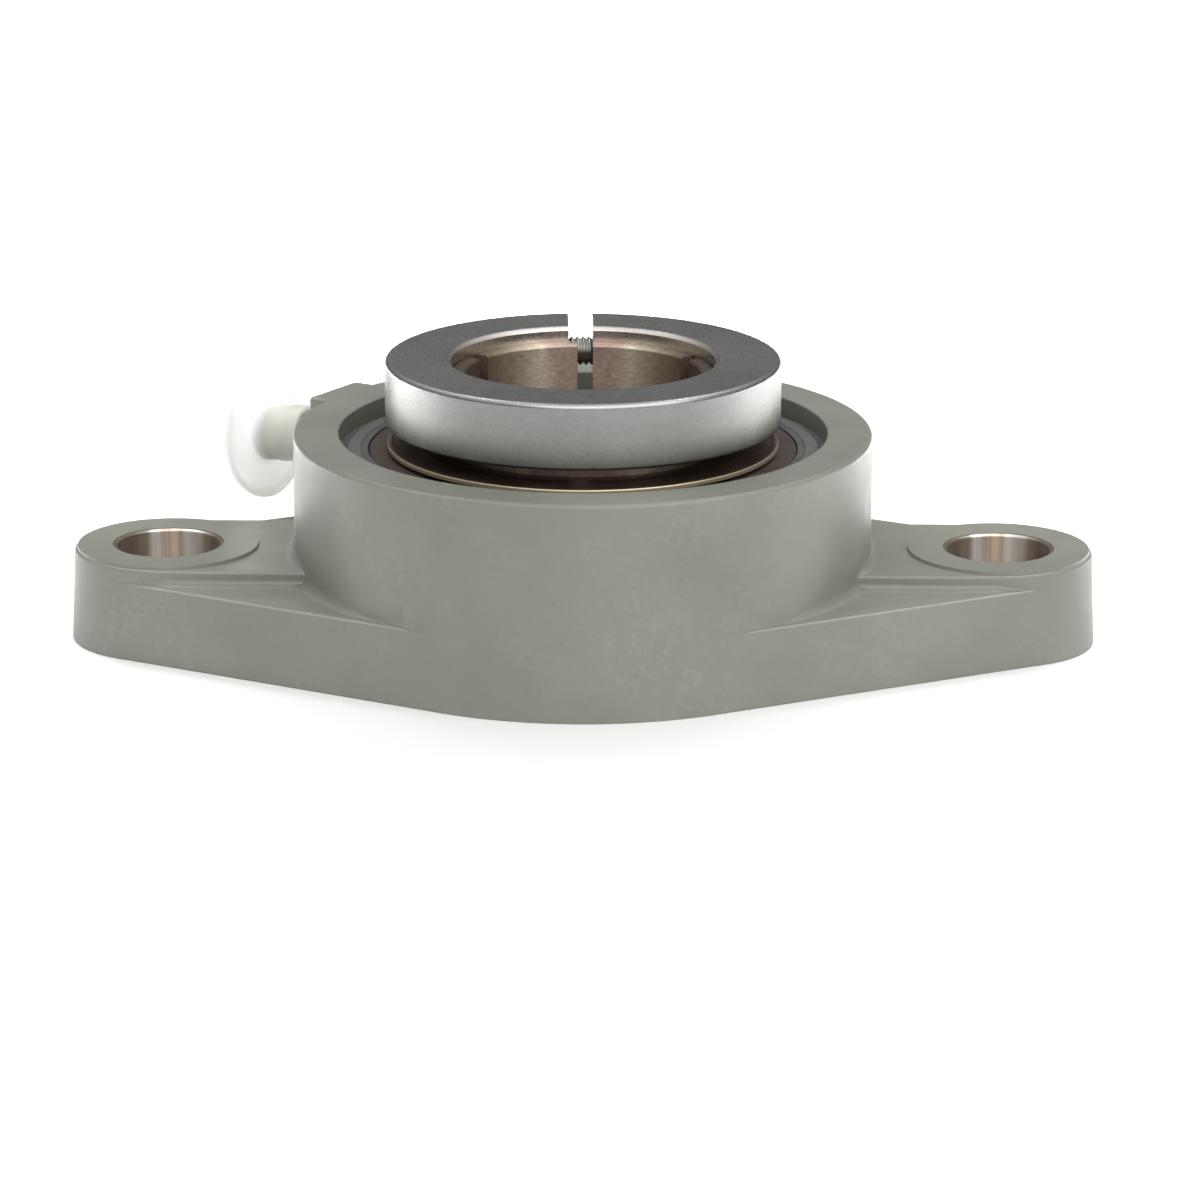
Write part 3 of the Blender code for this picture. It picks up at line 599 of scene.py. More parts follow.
def sleeve_steel():
    """The bolt sleeves: drawn steel whose bore has painted reflections as bands along the axis, tan, a white
    painted highlight and brown painted shade.
    """
    make = Nodes("sleeve_steel")
    angle, height = make.around_axis()[1:]
    around = make.vector(make.maths("MULTIPLY", make.maths("SINE", angle), 0.008),
                         make.maths("MULTIPLY", make.maths("COSINE", angle), 0.008),
                         make.maths("MULTIPLY", height, 0.02))
    sway = make.maths("MULTIPLY", make.maths("SUBTRACT", make.noise(420.0, 2.0, 0.5, around), 0.5), 0.55)
    aside = make.maths("ABSOLUTE", make.maths("COSINE", angle))
    # Painted reflections by azimuth: tan bands, a white painted highlight, and brown painted shade.
    painted_bands = make.ramp(make.maths("ADD", aside, sway), [
        (0.04, (0.80, 0.66, 0.52)), (0.20, (0.62, 0.50, 0.40)), (0.30, (0.95, 0.93, 0.88)),
        (0.42, (0.80, 0.76, 0.70)), (0.58, (0.40, 0.33, 0.27)), (0.90, (0.20, 0.16, 0.13))])
    roughness = make.mottle(700.0, 3.0, 0.30, 0.40)
    normal = make.bump(make.noise(2600.0, 2.0), 0.2, 0.00001)
    return make.set(colour=painted_bands, metallic=0.6, roughness=roughness, normal=normal)


def plated_steel():
    """Yellow zinc plating with a faint rainbow cast."""
    make = Nodes("yellow_plating")
    cast = make.noise(140.0, 3.0)
    colour = make.ramp(cast, [(0.30, (0.56, 0.44, 0.25)), (0.5, (0.64, 0.53, 0.33)),
                              (0.70, (0.56, 0.50, 0.38))])
    roughness = make.mottle(400.0, 3.0, 0.26, 0.38)
    normal = make.bump(make.noise(3000.0, 2.0), 0.2, 0.00001)
    return make.set(colour=colour, metallic=1.0, roughness=roughness, normal=normal)


def flinger_steel():
    """The flinger: sheet steel painted dark brown for the shade of the recess, with a bright yellow painted
    highlight on its edge.
    """
    make = Nodes("flinger_steel")
    radius, angle, height = make.around_axis()
    along = make.vector(radius, make.maths("MULTIPLY", angle, 0.001), height)
    lines = make.noise(3000.0, 2.0, 0.5, along)
    # Painted shade: the sheet is painted dark brown for the shade of the recess.
    recess_shade = make.mottle(180.0, 3.0, (0.150, 0.098, 0.080), (0.225, 0.150, 0.120))
    # Painted highlight: a bright yellow band on the rolled outer edge.
    rim_highlight = make.maths("GREATER_THAN", radius, (FLINGER_HIGH.x - 0.13) * MM)
    colour = make.blend(rim_highlight, recess_shade, (0.60, 0.51, 0.36))
    roughness = make.ramp(lines, [(0.3, 0.36), (0.7, 0.48)])
    normal = make.bump(lines, 0.4, 0.00001)
    return make.set(colour=colour, metallic=0.85, roughness=roughness, normal=normal)


def seal_rubber():
    """Dark brown black rubber, slightly dusty."""
    make = Nodes("seal_rubber")
    dust = make.noise(320.0, 4.0)
    colour = make.ramp(dust, [(0.35, (0.050, 0.034, 0.028)), (0.68, (0.085, 0.060, 0.050))])
    roughness = make.ramp(dust, [(0.35, 0.48), (0.65, 0.66)])
    normal = make.bump(make.noise(2200.0, 3.0), 0.3, 0.00003)
    return make.set(colour=colour, roughness=roughness, normal=normal, specular=0.4)


def cap_plastic():
    """Soft white plastic; the sleeve that covers the fitting is painted darker as shade, and yellower where the
    fitting shows through.
    """
    make = Nodes("cap_plastic")
    disc = make.mottle(120.0, 3.0, (0.95, 0.95, 0.94), (0.98, 0.98, 0.97))
    # The sleeve: painted shade on the white plastic, tinted yellow by the fitting inside.
    stem = make.mottle(120.0, 3.0, (0.60, 0.60, 0.52), (0.68, 0.68, 0.60))
    outwards = make.share(make.around_axis()[0], STEM_END * MM, DISC_START * MM)
    colour = make.blend(outwards, stem, disc)
    roughness = make.mottle(500.0, 3.0, 0.30, 0.42)
    normal = make.bump(make.noise(900.0, 2.0), 0.15, 0.00004)
    return make.set(colour=colour, roughness=roughness, normal=normal, ior=1.5,
                    subsurface=0.6, subsurface_scale=0.006, subsurface_radius=(1.0, 1.0, 0.95))


def nylon():
    """Natural nylon of the cage."""
    make = Nodes("cage_nylon")
    colour = make.mottle(150.0, 3.0, (0.56, 0.50, 0.37), (0.68, 0.62, 0.48))
    roughness = make.mottle(600.0, 3.0, 0.42, 0.56)
    normal = make.bump(make.noise(1200.0, 3.0), 0.25, 0.00005)
    return make.set(colour=colour, roughness=roughness, normal=normal, subsurface=0.1,
                    subsurface_scale=0.002)


# ---- housing

def web_outline(side):
    """One web, counter-clockwise, with the room on the ledge beside each point."""
    lean = radians(flange_lean(END_RADIUS, FLANGE_MIDDLE))
    overlap, longest = 1.0, 1.5
    inner = sqrt((HUB_RADIUS - overlap) ** 2 - END_RADIUS ** 2)
    lower = divided([(inner, -END_RADIUS), (BOLT_OFFSET, -END_RADIUS)], longest)[:-1]
    outline = lower + arc((BOLT_OFFSET, 0.0), END_RADIUS, -90.0, 90.0, 90)
    outline += [(x, -y) for x, y in reversed(lower)]
    tangent = BOLT_OFFSET + END_RADIUS * sin(lean)
    room = [max(0.0, FLANGE_MIDDLE - x * sin(lean) - abs(y) * cos(lean)) if x < tangent else 0.0
            for x, y in outline]
    return [(side * x, side * y) for x, y in outline], room


def end_draft(outline, height):
    """How far each point leans in at a height: only the flange's ends have this draft."""
    start, reach = 56.0, 16.0
    most = END_DRAFT * height / LEDGE_HEIGHT
    shares = [min(1.0, max(0.0, (abs(point[0]) - start) / reach)) for point in outline]
    return [most * share * share * (3 - 2 * share) for share in shares]


def drawn_in(outline, moves, height):
    """An outline lifted to a height, moved in by its own distances and the ends' draft."""
    leans = end_draft(outline, height)
    return lifted(inset(outline, [move + lean for move, lean in zip(moves, leans)]), height)


def make_flange():
    """The flange plate, whose sides run out tangent to the hub."""
    outline = flange_outline(END_RADIUS, FLANGE_MIDDLE)
    count = len(outline)
    chamfer, low, high = 0.15, 0.02, 0.17
    rings = [drawn_in(outline, [chamfer] * count, low), drawn_in(outline, [0.0] * count, high)]
    wall_top = LEDGE_HEIGHT - FLANGE_EDGE
    for step in range(7):
        angle = radians(15.0 * step)
        move = FLANGE_DRAFT + FLANGE_EDGE * (1 - cos(angle))
        rings.append(drawn_in(outline, [move] * count, wall_top + FLANGE_EDGE * sin(angle)))
    return lofted("housing_flange", rings)


def make_web(side):
    """One web: flush with the flange's end, with a hollow fillet at its foot."""
    outline, room = web_outline(side)
    edge, foot, squat = 0.4, 1.7, 0.65
    proud, bottom, climb, sunk = 0.012, 0.6, 0.002, 0.006
    count = len(outline)
    wall = FLANGE_DRAFT - proud
    reach = [min(foot, 0.75 * gap) for gap in room]
    rings = [drawn_in(outline, [-proud] * count, bottom),
             drawn_in(outline, [wall - 1.1 * size for size in reach], LEDGE_HEIGHT - 0.8)]
    for step in range(9):
        angle = radians(11.25 * step)
        moves = [wall - size * (1 - sin(angle)) for size in reach]
        rise = [squat * size * (1 - cos(angle)) + climb * step - sunk for size in reach]
        flat = drawn_in(outline, moves, LEDGE_HEIGHT)
        rings.append([(x, y, z + lift) for (x, y, z), lift in zip(flat, rise)])
    for step in range(7):
        angle = radians(15.0 * step)
        move = wall + edge * (1 - cos(angle))
        rings.append(drawn_in(outline, [move] * count, WEB_HEIGHT - edge + edge * sin(angle)))
    return lofted("housing_web", rings)


def make_boss(side):
    """The raised seat round one bolt hole, with a rounded rim."""
    root = WEB_HEIGHT - 1.5
    profile = rounded([(0.0, BOSS_HEIGHT), (0.0, root), (BOSS_RADIUS, root),
                       (BOSS_RADIUS, WEB_HEIGHT), (BOSS_RADIUS - 0.1, BOSS_HEIGHT, 0.22)], closed=False)
    return placed(turned("housing_boss", profile, 180),
                  Matrix.Translation((side * BOLT_OFFSET, 0.0, 0.0)))


def hub_profile():
    """The hub's wall: rounded rim, cover recess, spherical seat and back bore."""
    seat = OUTER_HIGH.x + SEAT_GAP
    groove_floor = INSERT_TOP - COVER_GROOVE_DEPTH
    high = degrees(asin((INSERT_TOP - BALL_CENTRE) / seat))
    low = degrees(asin((BACK_BORE_DEPTH - BALL_CENTRE) / seat))
    wall = [(HUB_RADIUS - HUB_DRAFT * height / HUB_TOP, height) for height in (21.0, 18.0, 16.6)]
    outside = rounded([
        (seat * cos(radians(high)), INSERT_TOP), (COVER_GROOVE, INSERT_TOP, 0.12),
        (COVER_GROOVE, groove_floor, 0.1), (RIM_BORE, groove_floor, 0.2),
        (RIM_BORE, HUB_TOP, 0.3), (HUB_RADIUS - HUB_DRAFT, HUB_TOP, 0.7), *wall,
        (HUB_RADIUS, 0.0, 0.15), (BACK_BORE, 0.0, 0.4), (BACK_BORE, BACK_BORE_DEPTH, 0.3),
        (35.5, BACK_BORE_DEPTH),
    ], closed=False)
    return outside + arc((0.0, BALL_CENTRE), seat, low, high, 24)


def foot_ring(name, height, radius_at, steps=360):
    """The hollow fillet between the hub's wall and a face below it, one radius for each turn."""
    least, clear, root = 0.005, 0.01, 1.2
    wall = HUB_RADIUS - HUB_DRAFT + clear
    inner = HUB_RADIUS - 1.0
    work = bmesh.new()
    rings = []
    for step in range(steps):
        turn = 2 * pi * step / steps
        radius = max(least, radius_at(turn))
        section = [(inner, height - root), (wall + radius, height - root)]
        for part in range(9):
            angle = radians(11.25 * part)
            section.append((wall + radius * (1 - sin(angle)),
                            height - clear + radius * (1 - cos(angle))))
        section.append((inner, height - clear + radius))
        rings.append([work.verts.new((r * cos(turn), r * sin(turn), z)) for r, z in section])
    for index, ring in enumerate(rings):
        after = rings[(index + 1) % steps]
        for place in range(len(ring)):
            following = (place + 1) % len(ring)
            work.faces.new((ring[place], after[place], after[following], ring[following]))
    return piece_from(work, name)


def ledge_fillet(turn):
    """Radius of the fillet on the ledge: it fades out where the ledge runs into the hub."""
    aside = acos(min(1.0, abs(cos(turn))))
    normal = pi / 2 - radians(flange_lean(END_RADIUS, FLANGE_MIDDLE))
    if aside > normal:
        return 0.0
    room = FLANGE_MIDDLE / cos(normal - aside) - FLANGE_EDGE - HUB_RADIUS
    return min(1.8, 0.6 * room)


def web_fillet(turn):
    """Radius of the fillet on a web's top: it fades out at the web's sides."""
    return min(1.5, 0.8 * (END_RADIUS - 0.3 - abs(HUB_RADIUS * sin(turn))))


def trimmed(ring, outline, bottom, top):
    """Keep only the part of a ring that stands on an outline."""
    fence = lofted("fence", [lifted(outline, bottom), lifted(outline, top)])
    return carve(ring, fence, "INTERSECT")


def bolt_hole(side):
    """A cutter for one bolt hole with softly broken edges."""
    radius = SLEEVE_OUTER + 0.04
    chamfer, floor = 0.10, 0.02
    cutter = turned("bolt_hole", [
        (0.0, -1.0), (radius + chamfer, -1.0), (radius + chamfer, floor), (radius, floor + chamfer),
        (radius, BOSS_HEIGHT - chamfer), (radius + chamfer, BOSS_HEIGHT),
        (radius + chamfer, BOSS_HEIGHT + 1.0), (0.0, BOSS_HEIGHT + 1.0),
    ], 128)
    return placed(cutter, Matrix.Translation((side * BOLT_OFFSET, 0.0, 0.0)))


def make_pad():
    """The flat-faced pad on the hub that carries the grease fitting."""
    inner = HUB_RADIUS - 5.0
    top = HUB_TOP - 0.01
    bottom = LEDGE_HEIGHT - 3.0
    pad = rounded_box("pad", (FITTING_PAD - inner, PAD_WIDTH, top - bottom),
                      ((FITTING_PAD + inner) / 2, 0.0, (top + bottom) / 2), 0.6)
    return placed(pad, Matrix.Rotation(FITTING_AZIMUTH, 4, "Z"))


def make_web_fillet(side):
    """The hollow fillet between a web's top and the hub."""
    outline = web_outline(side)[0]
    fence = inset(outline, [0.1] * len(outline))
    ring = foot_ring("web_foot", WEB_HEIGHT, web_fillet, 720)
    return trimmed(ring, fence, WEB_HEIGHT - 1.0, WEB_HEIGHT + 3.0)


def fitting_hole():
    """A cutter for the stepped hole under the grease fitting."""
    shank, duct, step, end = 3.08, 1.5, -7.6, -15.0
    drill = turned("fitting_hole", [(0.0, 2.0), (shank, 2.0), (shank, step), (duct, step),
                                    (duct, end), (0.0, end)], 64)
    return placed(drill, fitting_frame())


def make_housing():
    """The moulded housing in one piece."""
    housing = turned("housing_body", hub_profile())
    plate = make_flange()
    carve(plate, prism("back_bore", 192, BACK_BORE + 0.3, -1.0, LEDGE_HEIGHT + 1.0))
    carve(housing, plate, "UNION")
    for side in (-1, 1):
        carve(housing, make_web(side), "UNION")
        carve(housing, make_boss(side), "UNION")
    carve(housing, make_pad(), "UNION")
    carve(housing, foot_ring("ledge_foot", LEDGE_HEIGHT, ledge_fillet), "UNION")
    for side in (-1, 1):
        carve(housing, make_web_fillet(side), "UNION")
    notch = rounded_box("notch", (NOTCH_WIDTH, 2 * NOTCH_REACH, BALL_CENTRE + 1.0),
                        (0.0, 0.0, (BALL_CENTRE - 1.0) / 2), 0.0)
    carve(housing, notch)
    for side in (-1, 1):
        carve(housing, bolt_hole(side))
    carve(housing, fitting_hole())
    return eased(housing)


# ---- insert

def make_sleeve(side):
    """A rolled metal sleeve with a broken edge at each end."""
    outer = SLEEVE_OUTER
    inner = 8.0
    profile = rounded([(outer, SLEEVE_HIGH.z, 0.06), (outer, SLEEVE_LOW.z, 0.06),
                       (inner, SLEEVE_LOW.z, 0.42), (inner, SLEEVE_HIGH.z, 0.42)])
    sleeve = turned("sleeve_" + ("right" if side > 0 else "left"), profile, 128)
    sleeve.location.x = side * BOLT_OFFSET * MM
    return eased(sleeve)


def make_outer_ring():
    """The outer ring with its ground sphere, ball groove and seal seats."""
    top, bottom = OUTER_HIGH.z, OUTER_LOW.z
    sphere = OUTER_HIGH.x
    rise = degrees(asin((top - BALL_CENTRE - 0.06) / sphere))
    face = sqrt(sphere ** 2 - (top - BALL_CENTRE) ** 2)
    land, seat, depth, groove = 30.6, 33.4, 1.8, 5.7
    open_angle = degrees(acos((land - BALL_CIRCLE) / groove))
    profile = [(face - 0.05, top)] + arc((0.0, BALL_CENTRE), sphere, rise, -rise, 32)
    profile += [(face - 0.05, bottom)]
    profile += rounded([(face - 0.5, bottom), (seat, bottom, 0.12), (seat, bottom + depth, 0.2),
                        (land, bottom + depth, 0.2), (land, BALL_CENTRE - 6.0)], closed=False)[1:]
    profile += arc((BALL_CIRCLE, BALL_CENTRE), groove, -open_angle, open_angle, 20)
    profile += rounded([(land, BALL_CENTRE + 6.0), (land, top - depth, 0.2), (seat, top - depth, 0.2),
                        (seat, top, 0.12), (face - 0.5, top)], closed=False)[:-1]
    return eased(turned("outer_ring_body", profile))


def make_inner_ring():
    """The inner ring: slotted neck, broken edges and ball groove."""
    land, groove = 22.5, 5.7
    neck = 33.2
    open_angle = degrees(acos((BALL_CIRCLE - land) / groove))
    profile = rounded([(land, BALL_CENTRE + 6.0), (land, neck, 0.3), (FINGER_RADIUS, neck, 0.4),
                       (FINGER_RADIUS, INNER_HIGH.z, 0.25), (SHAFT_BORE + 0.35, INNER_HIGH.z, 0.1),
                       (SHAFT_BORE, INNER_HIGH.z - 0.35, 0.2), (SHAFT_BORE, INNER_LOW.z + 0.5, 0.3),
                       (SHAFT_BORE + 0.5, INNER_LOW.z, 0.1), (land, INNER_LOW.z, 0.4),
                       (land, BALL_CENTRE - 6.0)], closed=False)
    profile += arc((BALL_CIRCLE, BALL_CENTRE), groove, 180 + open_angle, 180 - open_angle, 20)
    ring = turned("inner_ring_body", profile)
    slot_width, slot_foot = 2.46, 34.2
    tall = INNER_HIGH.z + 2.0 - slot_foot
    for index in range(3):
        slot = rounded_box("slot", (2 * FINGER_RADIUS + 6.0, slot_width, tall),
                           (0.0, 0.0, slot_foot + tall / 2), 0.0)
        carve(ring, placed(slot, Matrix.Rotation(radians(90.0 + 60.0 * index), 4, "Z")))
    return eased(ring, 0.18)


def ball_place(index):
    """A move from the origin to a ball's place."""
    angle = 2 * pi * index / BALL_COUNT
    return Matrix.Translation((BALL_CIRCLE * cos(angle), BALL_CIRCLE * sin(angle), BALL_CENTRE))


def make_cage():
    """The cage, open towards the collar."""
    profile = rounded([(CAGE_HIGH.x, CAGE_HIGH.z, 0.4), (CAGE_HIGH.x, CAGE_LOW.z, 0.6),
                       (24.3, CAGE_LOW.z, 0.6), (24.3, CAGE_HIGH.z, 0.4)])
    cage = turned("cage_body", profile, 144)
    for index in range(BALL_COUNT):
        carve(cage, placed(ball("pocket", 5.85, 3), ball_place(index)))
    return eased(cage)


def make_ball(index):
    """One ball of the insert."""
    made = ball("rolling_ball_%d" % (index + 1), BALL_RADIUS, 4)
    return eased(placed(made, ball_place(index)))


def make_seal(label, side):
    """A rubber seal with a raised rim, a shallow channel and a thin lip."""
    outer = corners("seal_" + label)[1].x
    face = BALL_CENTRE + side * (SEAL_HIGH.z - BALL_CENTRE)
    under = face - side * 1.5
    lip = 22.85
    profile = rounded([(outer, face, 0.15), (outer, under, 0.15), (25.6, under, 0.2),
                       (24.6, under + side * 0.5, 0.2), (lip, under + side * 0.6), (lip, under + side * 0.95),
                       (24.8, face - side * 0.25, 0.3), (29.0, face - side * 0.25, 0.6),
                       (31.0, face - side * 0.12, 1.5), (32.6, face - side * 0.05, 0.8)])
    return eased(turned("seal_ring_" + label, profile))


def make_flinger(label, side):
    """A pressed flinger whose edge is rolled over."""
    near = BALL_CENTRE + side * (FLINGER_LOW.z - BALL_CENTRE)
    far = BALL_CENTRE + side * (FLINGER_HIGH.z - BALL_CENTRE)
    outer = FLINGER_HIGH.x
    inner = 22.62
    profile = rounded([(outer, far, 0.3), (outer, near, 0.12), (outer - 0.9, near, 0.1),
                       (outer - 1.2, near + side * 0.15, 0.1), (inner, near + side * 0.15, 0.1),
                       (inner, far - side * 0.1, 0.1), (25.0, far - side * 0.1, 0.3),
                       (25.4, far - side * 0.2, 0.3), (outer - 1.1, far - side * 0.2, 0.2),
                       (outer - 0.7, far, 0.2)])
    return eased(turned("flinger_ring_" + label, profile))


# ---- collar

def screw_frame():
    """The frame of the collar screw: Z along the screw, towards its head."""
    return aligned(SCREW_PLACE, SCREW_AXIS)


def make_collar():
    """The split collar with its counterbore and screw hole."""
    top, bottom = COLLAR_HIGH.z, COLLAR_LOW.z
    profile = rounded([(COLLAR_RADIUS, top, 0.8),
                       (COLLAR_RADIUS, bottom + 0.4, 0.15), (COLLAR_RADIUS - 0.4, bottom, 0.15),
                       (COLLAR_BORE + 0.3, bottom, 0.1), (COLLAR_BORE, bottom + 0.3, 0.1),
                       (COLLAR_BORE, top - 0.6, 0.15), (COLLAR_BORE + 0.6, top, 0.15)])
    collar = turned("collar_ring", profile, 256)
    middle = (top + bottom) / 2
    wall = (COLLAR_RADIUS + COLLAR_BORE) / 2
    split = rounded_box("split", (SPLIT_WIDTH, 18.0, 14.0), (0.0, wall + 1.0, middle), 0.0)
    carve(collar, placed(split, Matrix.Rotation(COLLAR_TURN, 4, "Z")))
    sunk, thread, seat, end = 4.2, 2.45, 8.1, -12.5
    hole = turned("screw_hole", [(0.0, 30.0), (sunk, 30.0), (sunk, seat), (thread, seat),
                                 (thread, end), (0.0, end)], 96)
    carve(collar, placed(hole, screw_frame()))
    return eased(collar, 0.2)


def thread_points(start, end, radius, pitch, depth, steps=40, per_turn=12):
    """Rings of a shank whose radius follows a helical groove."""
    rings = []
    count = int((end - start) / pitch * per_turn)
    for index in range(count + 1):
        height = start + (end - start) * index / count
        fade = min(1.0, (end - height) / pitch, (height - start) / pitch)
        ring = []
        for step in range(steps):
            turn = step / steps
            phase = (height / pitch - turn) % 1.0
            groove = max(0.0, 1.0 - abs(phase - 0.5) / 0.42)
            reach = radius - depth * groove * max(0.0, fade)
            ring.append((reach * cos(2 * pi * turn), reach * sin(2 * pi * turn), height))
        rings.append(ring)
    return rings


def make_screw():
    """The collar's cap screw: threaded shank, head with a hexagon socket."""
    low, start, length, head = -11.5, 8.2, 4.8, 3.9
    pitch = 0.93
    tip = [(1.75 * cos(2 * pi * k / 40), 1.75 * sin(2 * pi * k / 40), low) for k in range(40)]
    rings = [tip] + thread_points(low + 0.5, start + 0.3, 2.3, pitch, 0.42)
    screw = lofted("collar_screw_body", rings)
    cap = turned("screw_head", rounded([(0.0, start + length), (head, start + length, 0.45),
                                        (head, start, 0.15), (0.0, start)], closed=False), 96)
    socket = prism("socket", 6, 4.0 / sqrt(3), start + length - 2.4, start + length + 1.0)
    carve(cap, socket)
    carve(screw, cap, "UNION")
    return eased(placed(screw, screw_frame()))


# ---- grease fitting

def make_fitting():
    """The grease fitting: thread, hexagon, neck and head with its bore."""
    start, end, flats = 0.7, 3.9, 7.0
    body = turned("fitting_body", rounded([
        (0.9, 9.8, 0.15), (1.6, 9.8, 0.4), (3.2, 8.2, 0.4), (3.2, 7.2, 0.3), (2.2, 6.4, 0.3),
        (2.2, 5.2, 0.3), (2.9, 4.4, 0.2), (2.9, start), (2.6, start - 0.4), (2.6, start - 0.9),
        (3.0, start - 1.3), (3.0, -7.0), (2.6, -7.4), (0.8, -7.4), (0.8, start), (1.45, start),
        (1.45, 6.9), (0.9, 8.1)]), 72)
    hexagon = prism("hexagon", 6, flats / sqrt(3), start, end)
    dome = turned("hexagon_dome", rounded([(0.0, -1.0), (5.0, -1.0), (4.15, end, 0.9), (0.0, end)],
                                          closed=False), 72)
    carve(hexagon, dome, "INTERSECT")
    carve(hexagon, prism("hexagon_bore", 48, 2.0, -0.5, 5.0))
    carve(body, hexagon, "UNION")
    return eased(placed(body, fitting_frame()))


def make_cap():
    """The white cap: thin dished disc, moulding nib, and a sleeve with a thicker lip."""
    disc, inner, outer = 10.5, 13.2, 14.5
    stem, foot = 3.45, 4.2
    profile = rounded([
        (0.0, outer - 0.35), (0.75, outer - 0.35, 0.15), (0.9, outer - 0.6, 0.15),
        (4.0, outer - 0.55, 2.0), (disc - 1.6, outer - 0.3, 1.0), (disc - 0.9, outer, 0.4),
        (disc, outer, 0.4), (disc, inner, 0.35), (disc - 1.2, inner + 0.1, 0.3),
        (disc - 1.8, inner + 0.3, 0.5), (5.3, inner + 0.2, 0.5), (4.35, inner, 0.3),
        (4.35, 10.2, 0.2), (4.55, 9.9, 0.15), (4.55, foot, 0.3), (stem, foot, 0.3),
        (stem, 12.0, 0.6), (2.6, inner - 0.2, 0.3), (0.0, inner - 0.2)], closed=False)
    return eased(placed(turned("cap_body", profile, 128), fitting_frame()))


# ---- stage

# Places, sizes and powers of the stage are in metres and watts.
CAMERA_PLACE = (0.01264, -0.70411, 0.21433)
CAMERA_TURN = -0.0141
CAMERA_FALL = -0.2877
CAMERA_ROLL = 0.0024
CAMERA_LENS = 139.96
DIM_WORLD = 0.23
BRIGHT_WORLD = 0.88
FRONT_LIGHT_PLACE = (0.32, -0.82, 0.85)
FRONT_LIGHT_TARGET = (0.0, 0.0, 0.02)
FRONT_LIGHT_SIZE = (2.0, 1.4)
FRONT_LIGHT_POWER = 14.5
FLOOR_LIGHT_ASIDE = 0.42
FLOOR_LIGHT_HEIGHT = 0.5
FLOOR_LIGHT_SIZE = (0.5, 0.5)
FLOOR_LIGHT_POWER = 14.0
FLOOR_LIGHT_SPREAD = radians(70)


def make_camera():
    """The camera, at the photograph's viewing angle."""
    lens = bpy.data.cameras.new("camera")
    lens.lens = CAMERA_LENS
    lens.sensor_width = 36.0
    camera = bpy.data.objects.new("camera", lens)
    camera.matrix_world = (Matrix.Translation(CAMERA_PLACE) @ Matrix.Rotation(-CAMERA_TURN, 4, "Z")
                           @ Matrix.Rotation(pi / 2 + CAMERA_FALL, 4, "X")
                           @ Matrix.Rotation(CAMERA_ROLL, 4, "Z"))
    bpy.context.scene.collection.objects.link(camera)
    bpy.context.scene.camera = camera


def make_floor():
    """A plain pale floor, eight metres wide."""
    work = bmesh.new()
    bmesh.ops.create_grid(work, x_segments=8, y_segments=8, size=4.0 / MM)
    floor = piece_from(work, "floor")
    make = Nodes("floor_paint")
    colour = make.ramp(make.noise(3.0, 2.0), [(0.3, 0.93), (0.7, 0.95)])
    floor.data.materials.append(make.set(colour=colour, roughness=0.7, specular=0.1))


def area_light(name, place, target, size, power):
    """A soft rectangular light that faces a point."""
    data = bpy.data.lights.new(name, "AREA")
    data.shape = "RECTANGLE"
    data.size, data.size_y = size
    data.energy = power
    lamp = bpy.data.objects.new(name, data)
    lamp.location = place
    lamp.rotation_euler = (Vector(target) - Vector(place)).to_track_quat("-Z", "Y").to_euler()
    bpy.context.scene.collection.objects.link(lamp)
    return lamp


def make_world():
    """The studio round the table: dim at eye level, bright overhead."""
    world = bpy.data.worlds.new("studio")
    world.use_nodes = True
    bpy.context.scene.world = world
    tree = world.node_tree
    background = tree.nodes["Background"]
    place = tree.nodes.new("ShaderNodeTexCoord")
    split = tree.nodes.new("ShaderNodeSeparateXYZ")
    tree.links.new(place.outputs["Generated"], split.inputs[0])
    overhead = tree.nodes.new("ShaderNodeMapRange")
    overhead.interpolation_type = "SMOOTHSTEP"
    limits = {"From Min": 0.3, "From Max": 0.9, "To Min": DIM_WORLD, "To Max": BRIGHT_WORLD}
    for name, value in limits.items():
        overhead.inputs[name].default_value = value
    tree.links.new(split.outputs["Z"], overhead.inputs["Value"])
    tree.links.new(overhead.outputs["Result"], background.inputs["Strength"])
    background.inputs["Color"].default_value = (1.0, 1.0, 1.0, 1.0)


def make_stage():
    """Camera, floor and light."""
    bpy.context.scene.view_settings.view_transform = "Standard"
    make_camera()
    make_floor()
    make_world()
    area_light("front_light", FRONT_LIGHT_PLACE, FRONT_LIGHT_TARGET, FRONT_LIGHT_SIZE,
               FRONT_LIGHT_POWER)
    for side, label in ((-1, "left"), (1, "right")):
        place = (side * FLOOR_LIGHT_ASIDE, FLOOR_LIGHT_ASIDE, FLOOR_LIGHT_HEIGHT)
        below = (side * FLOOR_LIGHT_ASIDE, FLOOR_LIGHT_ASIDE, 0.0)
        floor_light = area_light(label + "_floor_light", place, below, FLOOR_LIGHT_SIZE,
                                 FLOOR_LIGHT_POWER)
        floor_light.data.spread = FLOOR_LIGHT_SPREAD


# ---- assembly

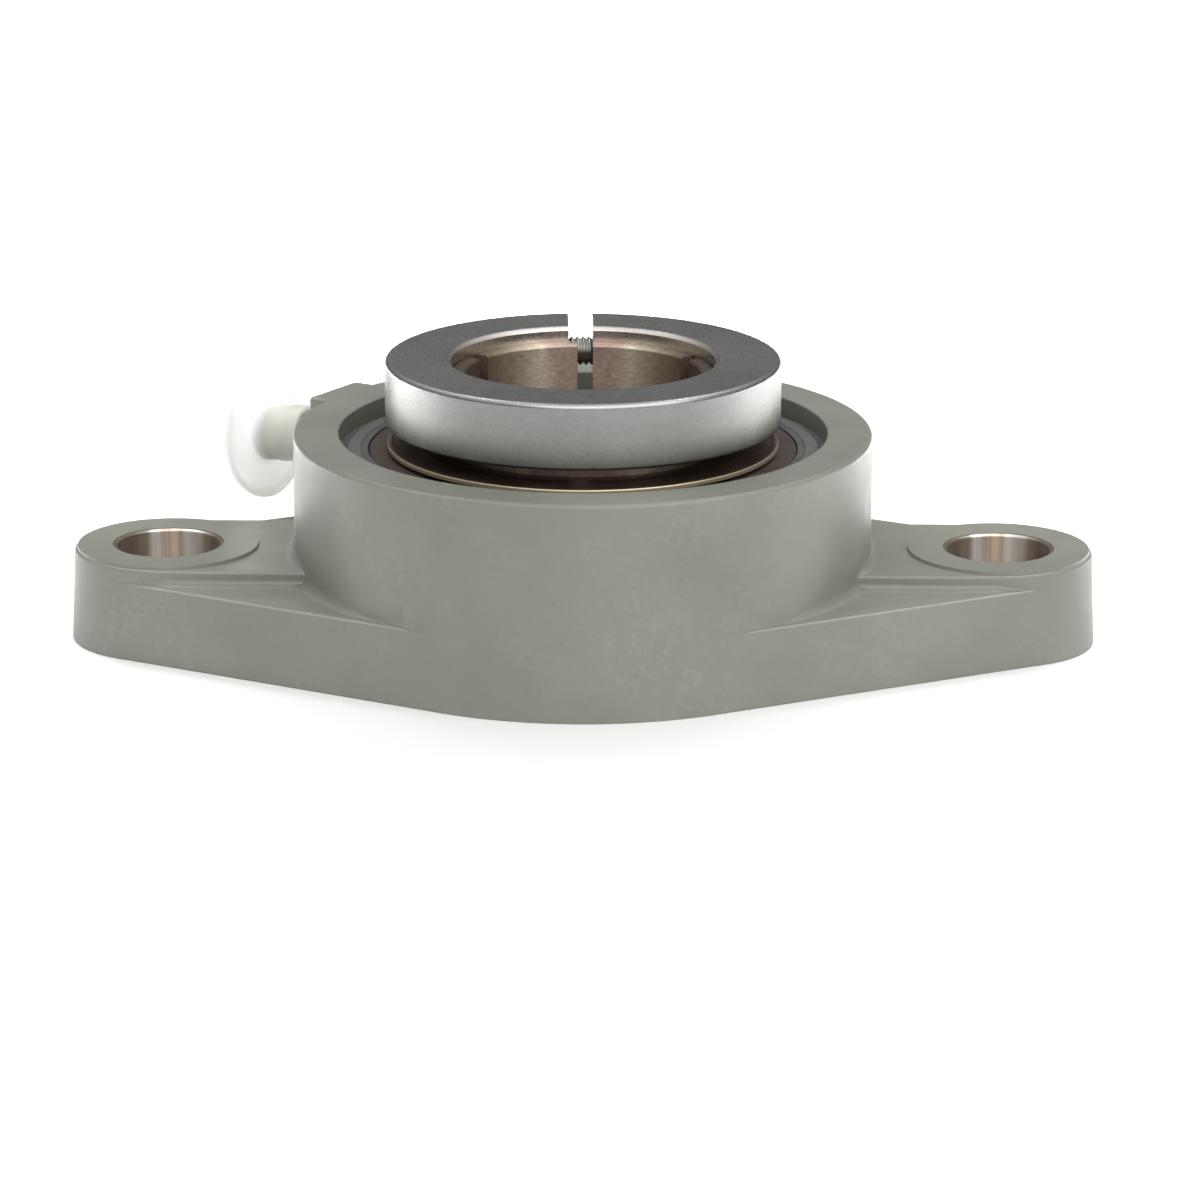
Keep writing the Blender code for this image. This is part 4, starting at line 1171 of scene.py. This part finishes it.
def dress(piece, body, material, slot, *nodes):
    """Give a piece its material, body and the CAD nodes it stands for; the slot argument is not used."""
    piece.data.materials.clear()
    piece.data.materials.append(material)
    for polygon in piece.data.polygons:
        polygon.material_index = 0
    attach(piece, body)
    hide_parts(*nodes)


def repaint(node, material):
    """Give a carried-over CAD node a better material."""
    obj = frame["nodes"][node]
    for slot in obj.material_slots:
        slot.material = material


def main():
    """Make every piece and put it in its place."""
    plating = plated_steel()
    sleeve_metal = sleeve_steel()
    # Painted shade: the outer ring's steel gets a dark base colour for the shade of the recess it sits in.
    shaded_ring_metal = ground_steel("outer_ring_steel_shaded", (0.21, 0.21, 0.22), 0.42)
    ball_metal = ground_steel("ball_steel", (0.66, 0.66, 0.67), 0.12)
    rubber = seal_rubber()
    browned = flinger_steel()
    dress(make_housing(), "housing", moulded_plastic(), "housing_plastic", "housing")
    for side, label in ((-1, "left"), (1, "right")):
        dress(make_sleeve(side), "housing", sleeve_metal, "sleeve_steel", "bolt_sleeve_" + label)
    dress(make_fitting(), "housing", plating, "yellow_zinc", "grease_fitting")
    dress(make_cap(), "grease_cap", cap_plastic(), "cap_plastic", "grease_cap")
    dress(make_outer_ring(), "outer_ring", shaded_ring_metal, "ring_steel", "outer_ring")
    dress(make_inner_ring(), "inner_ring", bore_steel(), "ring_steel", "inner_ring")
    dress(make_cage(), "cage", nylon(), "cage_nylon", "cage")
    for index in range(BALL_COUNT):
        node = "ball_%d" % (index + 1)
        dress(make_ball(index), node, ball_metal, "ball_steel", node)
    for side, label in ((1, "front"), (-1, "back")):
        dress(make_seal(label, side), "outer_ring", rubber, "seal_rubber", "seal_" + label)
        dress(make_flinger(label, side), "inner_ring", browned, "yellow_zinc", "flinger_" + label)
    dress(make_collar(), "locking_collar", collar_steel(), "collar_steel", "locking_collar")
    screw_metal = ground_steel("screw_steel", (0.52, 0.52, 0.49), 0.34)
    dress(make_screw(), "collar_screw", screw_metal, "screw_steel", "collar_screw")
    repaint("grease_check_ball", ball_metal)
    repaint("grease_check_spring", plating)
    make_stage()


main()
